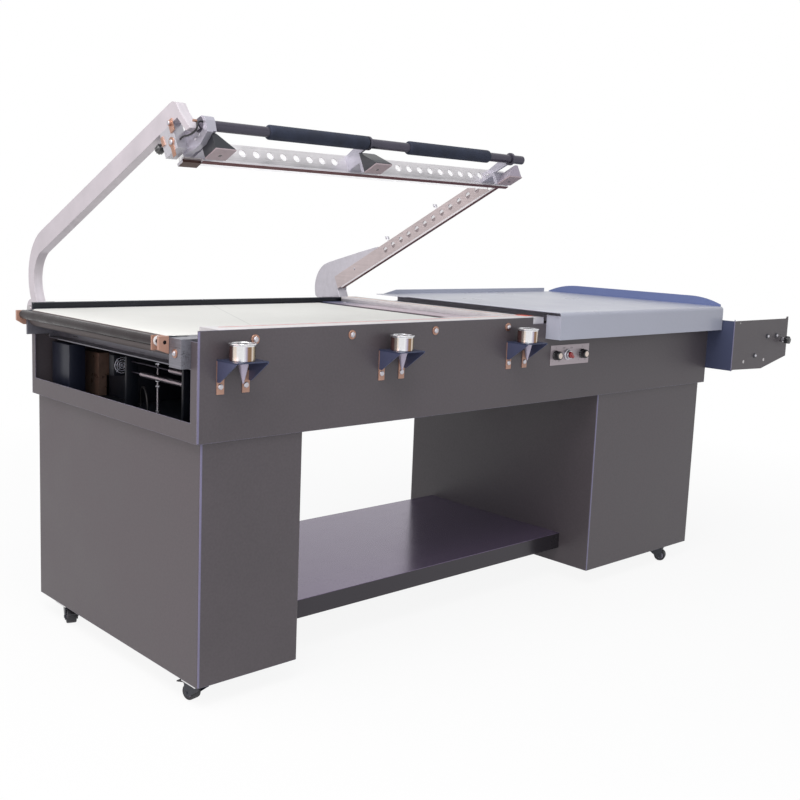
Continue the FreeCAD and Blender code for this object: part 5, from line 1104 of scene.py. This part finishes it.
class SEALER_OT_magnets(bpy.types.Operator):
    """Chromed magnet cups on their studs"""

    bl_idname = "sealer.magnets"
    bl_label = "Magnets"

    def execute(self, context):
        least_cup = 0.04
        cups, hollows, studs = bmesh.new(), bmesh.new(), bmesh.new()
        centres = []
        for box in solids("magnets"):
            size = box[1] - box[0]
            foot = Vector((middle(box).x, middle(box).y, box[0].z))
            rim, top = size.x / 2, size.z
            if size.x > least_cup:
                wall, recess, pole = rim - 0.003, rim - 0.007, rim * 0.36
                floor = top - 0.005
                profile = [
                    (0, 0), (wall - 0.001, 0), (wall, 0.001), (wall, top - 0.006),
                    (wall + 0.0008, top - 0.0035), (rim, top - 0.002), (rim, top - 0.0006),
                    (rim - 0.001, top), (recess + 0.001, top), (recess, top - 0.001), (recess, floor),
                    (pole, floor), (pole, top - 0.0016), (pole - 0.0006, top - 0.001), (0, top - 0.001),
                ]
                lathe(cups, profile, foot, UP, 64)
                ring(hollows, foot + UP * (floor - 0.0005), UP, pole, recess, 0.0007)
                centres.append(foot)
            else:
                profile = [
                    (0, 0), (rim * 0.14, 0), (rim * 0.96, top - 0.006), (rim, top - 0.005), (rim, top),
                    (0, top),
                ]
                lathe(studs, profile, foot, UP, 24)
        piece = add_piece(cups, "magnet_cups", "frame", "striped_chrome", ["magnets"])
        # The angle round each cup, which places its painted reflection.
        turn = piece.data.attributes.new("turn", "FLOAT", "POINT")
        for vert in piece.data.vertices:
            centre = min(centres, key=lambda one: abs(one.x - vert.co.x))
            turn.data[vert.index].value = math.atan2(vert.co.x - centre.x, centre.y - vert.co.y)
        add_piece(hollows, "magnet_hollows", "frame", "knob_black")
        add_piece(studs, "magnet_studs", "frame", "stud_metal")
        return {"FINISHED"}


class SEALER_OT_pad_marks(bpy.types.Operator):
    """Seal lines and the red end block of the pads"""

    bl_idname = "sealer.pad_marks"
    bl_label = "Pad marks"

    line_behind: length_value("Line place", "From the pad's front to its red line", 0.060)
    line_width: length_value("Line width", "Width of the seal lines", 0.004)

    def execute(self, context):
        front, side = solids("seal_pads")
        clamp = solids("pad_clamps")[0]
        top = front[1].z
        proud = top + 0.0002
        red, orange, blocks = bmesh.new(), bmesh.new(), bmesh.new()
        start = front[0].y + self.line_behind
        slab(red, (front[0].x, start, top), (front[1].x, start + self.line_width, proud))
        across = middle(side).x - self.line_width
        slab(orange, (across, side[0].y, top), (across + self.line_width, side[1].y, proud))
        low, high = front[1].x, clamp[1].x
        slab(blocks, (low, start - 0.02, top - 0.012), (high, clamp[1].y + 0.0005, proud), 0.0001)
        add_piece(red, "front_pad_line", "frame", "red_tape")
        add_piece(orange, "side_pad_line", "frame", "orange_tape")
        add_piece(blocks, "pad_end_block", "frame", "red_block")
        return {"FINISHED"}


class SEALER_OT_roller_ends(bpy.types.Operator):
    """White end discs of the rollers, and the bolts beside them"""

    bl_idname = "sealer.roller_ends"
    bl_label = "Roller ends"

    def execute(self, context):
        bracket = solids("roller_brackets")[0][0]
        centre = at(-33.5, 121, 229.5)
        drive = on_plane("drive_roller", bracket.y)
        discs, bolts = bmesh.new(), bmesh.new()
        profile = [(0, 0), (11.5, 0), (12, 0.6), (12, 3), (10, 4.2), (5, 4.4), (4.6, 3), (0, 3)]
        lathe(discs, scaled(profile), centre, FRONT, 28)
        profile = [(0, 0), (12, 0), (12.5, 0.6), (12.5, 3), (10, 4), (0, 4)]
        lathe(discs, scaled(profile), drive, FRONT, 28)
        hex_prism(bolts, facing(centre + FRONT * 0.003, FRONT), 0.0045, 0.004)
        hex_prism(bolts, facing(drive + FRONT * 0.004, FRONT), 0.006, 0.004)
        under = Vector((drive.x - 0.004, bracket.y, bracket.z + 0.008))
        ring(bolts, under, FRONT, 0.002, 0.007, 0.0015)
        dome(bolts, under, FRONT, 0.005, 0.005)
        add_piece(discs, "roller_end_discs", "frame", "white_cap")
        add_piece(bolts, "roller_end_bolts", "frame", "brass_zinc")
        return {"FINISHED"}


class SEALER_OT_chamber(bpy.types.Operator):
    """Cabinets, fan guard and balance springs inside the open end"""

    bl_idname = "sealer.chamber"
    bl_label = "Chamber"

    turns_per_metre: FloatProperty(name="Coils", description="Coils in a metre of spring", default=190.0)

    fan_reach: length_value("Fan guard", "Radius of the fan's guard", 0.0245)

    def make_cabinets(self):
        """The two cabinets, and the fan's case with its guard."""
        relay, guard, cabinet = solids("control_box")
        cases, relays, wires, blades = bmesh.new(), bmesh.new(), bmesh.new(), bmesh.new()
        slab(cases, *cabinet, 0.002)
        slab(relays, *relay, 0.002)
        width, depth, wire = 0.050, 0.026, 0.0014
        case = (guard[0] - Vector((width, depth, 0)), Vector((guard[0].x, guard[0].y, guard[1].z)))
        slab(cases, *case, 0.002)
        centre = Vector((middle(case).x, case[0].y, middle(case).z))
        turns = [FULL_TURN * step / 8 for step in range(9)]
        for share in (0.88, 0.62, 0.36, 0.14):
            radius = self.fan_reach * share
            profile = [(radius + wire * math.cos(turn), wire * math.sin(turn)) for turn in turns]
            lathe(wires, profile, centre, FRONT, 36)
        for way in (Vector((1, 0, 1)), Vector((1, 0, -1))):
            arm = way.normalized() * self.fan_reach
            round_run(wires, [centre - arm, centre + arm], 0.001, 6)
        lathe(blades, scaled([(0, 0.4), (23, 0.4), (23, 0), (0, 0)]), centre, FRONT, 36)
        add_piece(cases, "control_cabinet", "frame", "chamber_coat", ["control_box"])
        add_piece(relays, "relay_cabinet", "frame", "relay_coat")
        add_piece(wires, "fan_guard_wires", "frame", "pale_wire")
        add_piece(blades, "fan_opening", "frame", "knob_black")

    def make_springs(self, parts):
        """The balance springs on their rods, and the plates that hold them."""
        coils, rods, plates = bmesh.new(), bmesh.new(), bmesh.new()
        sizes = [box[1].y - box[0].y for box in parts]
        springs = sorted((box for box, long in zip(parts, sizes) if long > 0.1), key=lambda box: box[0].z)
        for box, share in zip(springs, (0.77, 0.25)):
            start = Vector((middle(box).x, box[0].y, middle(box).z))
            length = box[1].y - box[0].y
            turns = int(length * share * self.turns_per_metre)
            coil(coils, start + REAR * 0.012, REAR, 0.0068, 0.0012, length * share, turns)
            round_run(rods, [start, start + REAR * length], 0.0022, 8)
        for box, long in zip(parts, sizes):
            if long < 0.009:
                slab(plates, *box, 0.001)
        add_piece(coils, "spring_coils", "frame", "spring_wire", ["balance_springs"])
        add_piece(rods, "spring_rods", "frame", "tube_steel")
        add_piece(plates, "spring_anchors", "frame", "chamber_coat")

    def make_post(self, post):
        """The threaded post and its nuts."""
        posts = bmesh.new()
        foot = Vector((middle(post).x, middle(post).y, post[0].z))
        height = post[1].z - post[0].z
        root, crest, pitch = 0.0026, 0.0031, 0.002
        profile = [(0, 0)]
        for step in range(int(height / pitch)):
            profile += [(root, step * pitch), (crest, (step + 0.5) * pitch)]
        lathe(posts, profile + [(root, height), (0, height)], foot, UP, 10)
        for share in (0.02, 0.5, 0.6, 0.92):
            hex_prism(posts, facing(foot + UP * height * share, UP), 0.006, 0.005)
        add_piece(posts, "threaded_post", "frame", "bright_zinc")

    def execute(self, context):
        self.make_cabinets()
        parts = solids("balance_springs")
        self.make_springs(parts)
        self.make_post(next(box for box in parts if box[1].x - box[0].x < 0.013))
        return {"FINISHED"}


class SEALER_OT_controls(bpy.types.Operator):
    """Marks on the control plate, fluted knobs and the red selector"""

    bl_idname = "sealer.controls"
    bl_label = "Controls"

    flutes: IntProperty(name="Flutes", description="Flutes round a knob", default=18)

    def write(self, marks, words, start, across, up, size):
        """Put words on the plate, beside a control's axis."""
        place = Matrix.Translation(start + Vector((across, 0, up)))
        words_on(marks, words, size, place @ Matrix.Rotation(math.radians(90), 4, "X"))

    def make_knob(self, marks, name, face):
        """A fluted knob with its cap, and the dial round it."""
        start = on_plane(name, face)
        length = face - whole(name)[0].y
        top = length - 0.0012
        body, cap = bmesh.new(), bmesh.new()
        profile = [
            (0, 0.0004), (0.0152, 0.0004), (0.0152, 0.003), (0.0140, 0.0045), (0.0134, length - 0.003),
            (0.0120, top), (0, top),
        ]
        lathe(body, profile, start, FRONT, self.flutes * 4)
        flute(body, start, FRONT, self.flutes, 0.0009, 0.0124)
        profile = [(0, 0), (0.0090, 0), (0.0088, 0.0008), (0.008, 0.0011), (0, 0.0011)]
        lathe(cap, profile, start + FRONT * top, FRONT, 24)
        pointer = (Vector((-0.0005, -top, 0.006)), Vector((0.0005, -length + 0.0006, 0.0095)))
        slab(cap, start + pointer[0], start + pointer[1])
        add_piece(body, name + "_grip", name, "knob_black", [name])
        add_piece(cap, name + "_cap", name, "cap_metal")
        place = start + FRONT * 0.00003
        for step in range(11):
            angle = math.radians(225 - 27 * step)
            way = Vector((math.cos(angle), 0, math.sin(angle)))
            round_run(marks, [place + way * 0.0168, place + way * 0.0190], 0.0003, 4)
        for words, across, up in (("0", -0.0160, -0.0190), ("10", 0.0160, -0.0190), ("5", 0, 0.0225)):
            self.write(marks, words, start, across, up, 0.0065)

    def make_selector(self, start, length):
        """The red lever in its bright bezel."""
        bezel, lever = bmesh.new(), bmesh.new()
        profile = [
            (0.0095, 0), (0.017, 0), (0.017, 0.003), (0.0162, 0.004), (0.014, 0.0045), (0.0134, 0.005),
            (0.0134, 0.011), (0.0124, 0.012), (0.0102, 0.0122), (0.0095, 0.011), (0.0095, 0),
        ]
        lathe(bezel, profile, start, FRONT, 48)
        slab(lever, (-0.0042, -length, -0.0128), (0.0042, -0.0122, 0.0128), 0.0014)
        turned = Matrix.Translation(start) @ Matrix.Rotation(math.radians(-52), 4, "Y")
        bmesh.ops.transform(lever, verts=lever.verts, matrix=turned)
        top = length - 0.0026
        profile = [(0, 0.004), (0.0093, 0.004), (0.0093, length - 0.004), (0.0084, top), (0, top)]
        lathe(lever, profile, start, FRONT, 28)
        add_piece(bezel, "selector_bezel", "frame", "bright_zinc")
        add_piece(lever, "selector_lever", "mode_selector", "knob_red", ["mode_selector"])

    def execute(self, context):
        face = whole("control_plate")[0].y
        marks = bmesh.new()
        for name in ("timer_knob", "heat_knob"):
            self.make_knob(marks, name, face)
        start = on_plane("mode_selector", face)
        for words, across in (("OFF", -0.0185), ("ON", 0.0185)):
            self.write(marks, words, start, across, 0.0205, 0.0075)
        add_piece(marks, "plate_marks", "frame", "mark_ink")
        self.make_selector(start, face - whole("mode_selector")[0].y)
        return {"FINISHED"}


class SEALER_OT_cradle_knob(bpy.types.Operator):
    """Lobed knob of the film cradle"""

    bl_idname = "sealer.cradle_knob"
    bl_label = "Cradle knob"

    def execute(self, context):
        turn = joint("cradle_knob_turn")["pos_m"]
        low, high = whole("cradle_knob")
        start = Vector((turn[0], high.y, turn[2]))
        length = high.y - low.y
        radius = (high.x - low.x) / 2
        knob, neck = bmesh.new(), bmesh.new()
        profile = [
            (0, length * 0.60), (radius * 0.62, length * 0.60), (radius * 0.98, length * 0.66),
            (radius, length * 0.74), (radius, length * 0.90), (radius * 0.9, length * 0.97),
            (radius * 0.6, length), (0, length),
        ]
        lathe(knob, profile, start, FRONT, 60)
        flute(knob, start, FRONT, 5, radius * 0.24, radius * 0.7)
        profile = [
            (0, 0), (0.005, 0), (0.005, length * 0.32), (0.0085, length * 0.34), (0.0085, length * 0.44),
            (0.006, length * 0.46), (0.006, length * 0.61), (0, length * 0.61),
        ]
        lathe(neck, profile, start, FRONT, 24)
        add_piece(knob, "cradle_knob_head", "cradle_knob", "knob_black", ["cradle_knob"])
        add_piece(neck, "cradle_knob_neck", "cradle_knob", "bright_zinc")
        return {"FINISHED"}


class SEALER_OT_casters(bpy.types.Operator):
    """Caster wheels with rubber tyres"""

    bl_idname = "sealer.casters"
    bl_label = "Casters"

    def execute(self, context):
        for corner in ("front_left", "rear_left", "front_right", "rear_right"):
            name = "caster_wheel_" + corner
            spin = joint(name + "_spin")
            axis = Vector(spin["axis"])
            centre = Vector(spin["pos_m"])
            shape = merged(name)
            reach = max((vert.co - centre).dot(axis) for vert in shape.verts)
            radius = max(
                ((vert.co - centre) - axis * (vert.co - centre).dot(axis)).length for vert in shape.verts
            )
            shape.free()
            tyre, hub = bmesh.new(), bmesh.new()
            wide = reach * 2
            profile = [
                (radius * 0.66, 0.0012), (radius * 0.9, 0.0004), (radius * 0.98, 0.0022), (radius, 0.005),
                (radius, wide - 0.005), (radius * 0.98, wide - 0.0022), (radius * 0.9, wide - 0.0004),
                (radius * 0.66, wide - 0.0012), (radius * 0.66, 0.0012),
            ]
            start = centre - axis * reach
            lathe(tyre, profile, start, axis, 48)
            profile = [
                (0, 0.0012), (radius * 0.24, 0.0006), (radius * 0.26, 0.003), (radius * 0.6, 0.0042),
                (radius * 0.68, 0.0014), (radius * 0.68, wide - 0.0014), (radius * 0.6, wide - 0.0042),
                (radius * 0.26, wide - 0.003), (radius * 0.24, wide - 0.0006), (0, wide - 0.0012),
            ]
            lathe(hub, profile, start, axis, 32)
            add_piece(tyre, name + "_tyre", name, "tyre", [name])
            add_piece(hub, name + "_hub", name, "hub_grey")
        return {"FINISHED"}


# ---------------------------------------------------------------- leads

# Each lead's radius and points, in millimetres from the front panel's lower left corner.
ROUTES = {
    "pedestal_loop": (4.0, [(332, 52, 0), (332, 52, -20), (328, 50, -42), (312, 50, -42)]),
    "pedestal_swag": (4.0, [
        (1363, 520, 0), (1363, 520, -30), (1397, 510, -62), (1447, 500, -68), (1489, 496, -57),
        (1523, 496, -57),
    ]),
    "chamber_lead": (3.0, [
        (150, 520, 2), (150, 520, 34), (136, 490, 60), (120, 448, 64), (110, 415, 42), (110, 415, 2),
    ]),
}
# The head lead's radius and points, in millimetres on the closed head.
HEAD_ROUTE = (2.4, [
    (33, -902, 66), (33, -917, 66), (32, -945, 53), (31, -981, 50), (33, -981, 70), (49, -981, 70),
])


def lay_cord(name, points, radius, body, stands_for=()):
    """A free lead along its route."""
    curve = bpy.data.curves.new(name, "CURVE")
    curve.dimensions = "3D"
    curve.resolution_u = 12
    spline = curve.splines.new("NURBS")
    spline.points.add(len(points) - 1)
    for point, place in zip(spline.points, points):
        point.co = (*place, 1.0)
    spline.order_u = 3
    spline.use_endpoint_u = True
    thing = bpy.data.objects.new(name, curve)
    bpy.context.scene.collection.objects.link(thing)
    shown = thing.evaluated_get(bpy.context.evaluated_depsgraph_get())
    line = shown.to_mesh()
    shown.to_mesh_clear()
    curve.bevel_depth = radius
    curve.bevel_resolution = 3
    curve.use_fill_caps = True
    curve.materials.append(MATERIALS["cable"])
    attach(thing, body)
    if stands_for:
        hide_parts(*stands_for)
    tuple(points[0])


class SEALER_OT_leads(bpy.types.Operator):
    """Short leads under the frame, in its open end and on the sealing head"""

    bl_idname = "sealer.leads"
    bl_label = "Leads"

    def execute(self, context):
        for index, (name, (radius, points)) in enumerate(ROUTES.items()):
            places = [at(*point) for point in points]
            lay_cord(name, places, radius * MM, "frame", ["lower_leads"] if index == 0 else ())
        radius, points = HEAD_ROUTE
        places = [HEAD @ on_head(*point) for point in points]
        lay_cord("head_cord", places, radius * MM, "head", ["head_lead"])
        return {"FINISHED"}


# ---------------------------------------------------------------- fittings of the sealing head

class SEALER_OT_handle(bpy.types.Operator):
    """Foam grips, and the screws of the handle's blocks"""

    bl_idname = "sealer.handle"
    bl_label = "Handle"

    round_by: length_value("Grip rounding", "Rounding of the grips' ends", 0.006)

    def execute(self, context):
        tube = solids("handle_tube", HEAD)[0]
        bore = (tube[1].z - tube[0].z) / 2 + 0.0001
        across = Vector((1, 0, 0))
        for count, box in enumerate(solids("foam_grips", HEAD), 1):
            radius = (box[1].z - box[0].z) / 2
            length = box[1].x - box[0].x
            start = Vector((box[0].x, middle(box).y, middle(box).z))
            rounding = []
            for step in range(7):
                angle = math.radians(90 * step / 6)
                inward, along = (self.round_by * (1 - one(angle)) for one in (math.sin, math.cos))
                rounding.append((radius - inward, along))
            profile = [(bore, 0)] + rounding
            profile += [(radius * 0.995, length * share) for share in (0.25, 0.5, 0.75)]
            profile += [(reach, length - along) for reach, along in reversed(rounding)]
            profile += [(bore, length), (bore, 0)]
            grip = bmesh.new()
            lathe(grip, profile, start, across, 48)
            stands_for = ["foam_grips"] if count == 1 else ()
            piece = add_piece(grip, "foam_grip_%d" % count, "head", "foam", stands_for, HEAD)
        screws = bmesh.new()
        block = solids("handle_supports", HEAD)[0]
        for behind, height in ((955, 50), (938, 49)):
            foot = Vector((block[0].x, -behind * MM, height * MM))
            dome(screws, foot, LEFT, 0.0042, 0.0022)
        add_piece(screws, "block_screws", "head", "bright_zinc", (), HEAD)
        return {"FINISHED"}


class SEALER_OT_head_fittings(bpy.types.Operator):
    """Wire knob, wing screws and small bolts of the sealing head"""

    bl_idname = "sealer.head_fittings"
    bl_label = "Head fittings"

    def make_wire_knob(self):
        """The fluted wire knob on its shaft."""
        box = solids("wire_knob", HEAD)[0]
        radius = (box[1].z - box[0].z) / 2
        start = Vector((middle(box).x, box[1].y, middle(box).z))
        knob, shaft = bmesh.new(), bmesh.new()
        profile = [
            (0, -0.020), (radius * 0.6, -0.020), (radius, -0.017), (radius, -0.004),
            (radius * 0.8, -0.0008), (0, 0),
        ]
        lathe(knob, profile, start, REAR, 80)
        flute(knob, start, REAR, 10, radius * 0.16, radius * 0.7)
        length = box[1].y - box[0].y
        profile = [
            (0, -length), (0.003, -length), (0.003, -0.04), (0.0065, -0.039), (0.0065, -0.034),
            (0.003, -0.033), (0.003, -0.02), (0, -0.02),
        ]
        lathe(shaft, profile, start, REAR, 20)
        add_piece(knob, "wire_knob_head", "wire_knob", "knob_black", ["wire_knob"], HEAD)
        add_piece(shaft, "wire_knob_shaft", "wire_knob", "bright_zinc", (), HEAD)

    def make_bolts(self):
        """Washers, bolts and wing screws."""
        brass, bright = bmesh.new(), bmesh.new()
        ring(brass, on_head(20, -885, 66), LEFT, 0.004, 0.012, 0.0015)
        dome(bright, on_head(18.5, -885, 66), LEFT, 0.0065, 0.004)
        slab(brass, on_head(18.4, -892, 30), on_head(20, -878, 56), 0.0004)
        dome(bright, on_head(12, -902, 105), LEFT, 0.005, 0.003)
        lathe(brass, scaled([(0, 0), (3.2, 0), (3.2, 9), (0, 9)]), on_head(33, -981, 70), LEFT, 12)
        bar = solids("side_bar", HEAD)[0]
        profile = [(0, 0), (4.5, 0), (4.5, 4), (1.8, 5), (1.8, 20), (3, 21), (3, 25), (0, 26)]
        wing = (Vector((-0.009, -0.001, 0.016)), Vector((0.009, 0.001, 0.027)))
        for reach in (590, 340):
            foot = Vector((middle(bar).x, -reach * MM, bar[1].z))
            lathe(bright, scaled(profile), foot, UP, 14)
            slab(bright, foot + wing[0], foot + wing[1], 0.0008)
        dome(bright, on_head(1140, -164, 63), LEFT, 0.004, 0.003)
        add_piece(brass, "head_washers", "head", "brass_zinc", (), HEAD)
        add_piece(bright, "head_bolts", "head", "bright_zinc", (), HEAD)

    def make_glow_sheets(self):
        """Thin glowing sheets inside the sealing bars, painted light that shows white through the bars'
        holes.
        """
        liner = bmesh.new()
        slab(liner, on_head(60, -874, 76.2), on_head(1136, -838, 76.5))
        slab(liner, on_head(60, -837.6, 37), on_head(1136, -837.3, 76))
        slab(liner, on_head(1144, -826, 76.2), on_head(1180, -60, 76.5))
        add_piece(liner, "bar_liners", "head", "liner", (), HEAD)

    def make_screws(self):
        """Dark screws in the armature plates."""
        holes = bmesh.new()
        for plate in solids("armature_plates", HEAD):
            centre = middle(plate)
            foot = Vector((centre.x, centre.y + 0.004, plate[0].z))
            lathe(holes, scaled([(0, 0.1), (4.2, 0.1), (4.2, -0.3), (0, -0.3)]), foot, -UP, 20)
        add_piece(holes, "armature_screws", "head", "knob_black", (), HEAD)

    def execute(self, context):
        self.make_wire_knob()
        self.make_bolts()
        self.make_glow_sheets()
        self.make_screws()
        return {"FINISHED"}


OPERATORS = (
    SEALER_OT_stage,
    SEALER_OT_finishes,
    SEALER_OT_fasteners,
    SEALER_OT_fold_highlights,
    SEALER_OT_magnets,
    SEALER_OT_pad_marks,
    SEALER_OT_roller_ends,
    SEALER_OT_chamber,
    SEALER_OT_controls,
    SEALER_OT_cradle_knob,
    SEALER_OT_casters,
    SEALER_OT_leads,
    SEALER_OT_handle,
    SEALER_OT_head_fittings,
)


class SEALER_PT_panel(bpy.types.Panel):
    """Lists the machine's pieces in the sidebar"""

    bl_idname = "SEALER_PT_panel"
    bl_label = "L bar sealer"
    bl_space_type = "VIEW_3D"
    bl_region_type = "UI"
    bl_category = "Sealer"

    def draw(self, context):
        for operator in OPERATORS:
            self.layout.operator(operator.bl_idname)


CLASSES = (SealerLook, SealerStage, *OPERATORS, SEALER_PT_panel)


def register():
    """Register the add-on's classes and settings."""
    for cls in CLASSES:
        bpy.utils.register_class(cls)
    bpy.types.Scene.sealer_look = PointerProperty(type=SealerLook)
    bpy.types.Scene.sealer_stage = PointerProperty(type=SealerStage)


def unregister():
    """Remove the add-on's classes and settings."""
    del bpy.types.Scene.sealer_stage
    del bpy.types.Scene.sealer_look
    for cls in reversed(CLASSES):
        bpy.utils.unregister_class(cls)


def main():
    """Make every piece in order."""
    register()
    for operator in OPERATORS:
        group, name = operator.bl_idname.split(".")
        getattr(getattr(bpy.ops, group), name)()


if __name__ == "__main__":
    main()
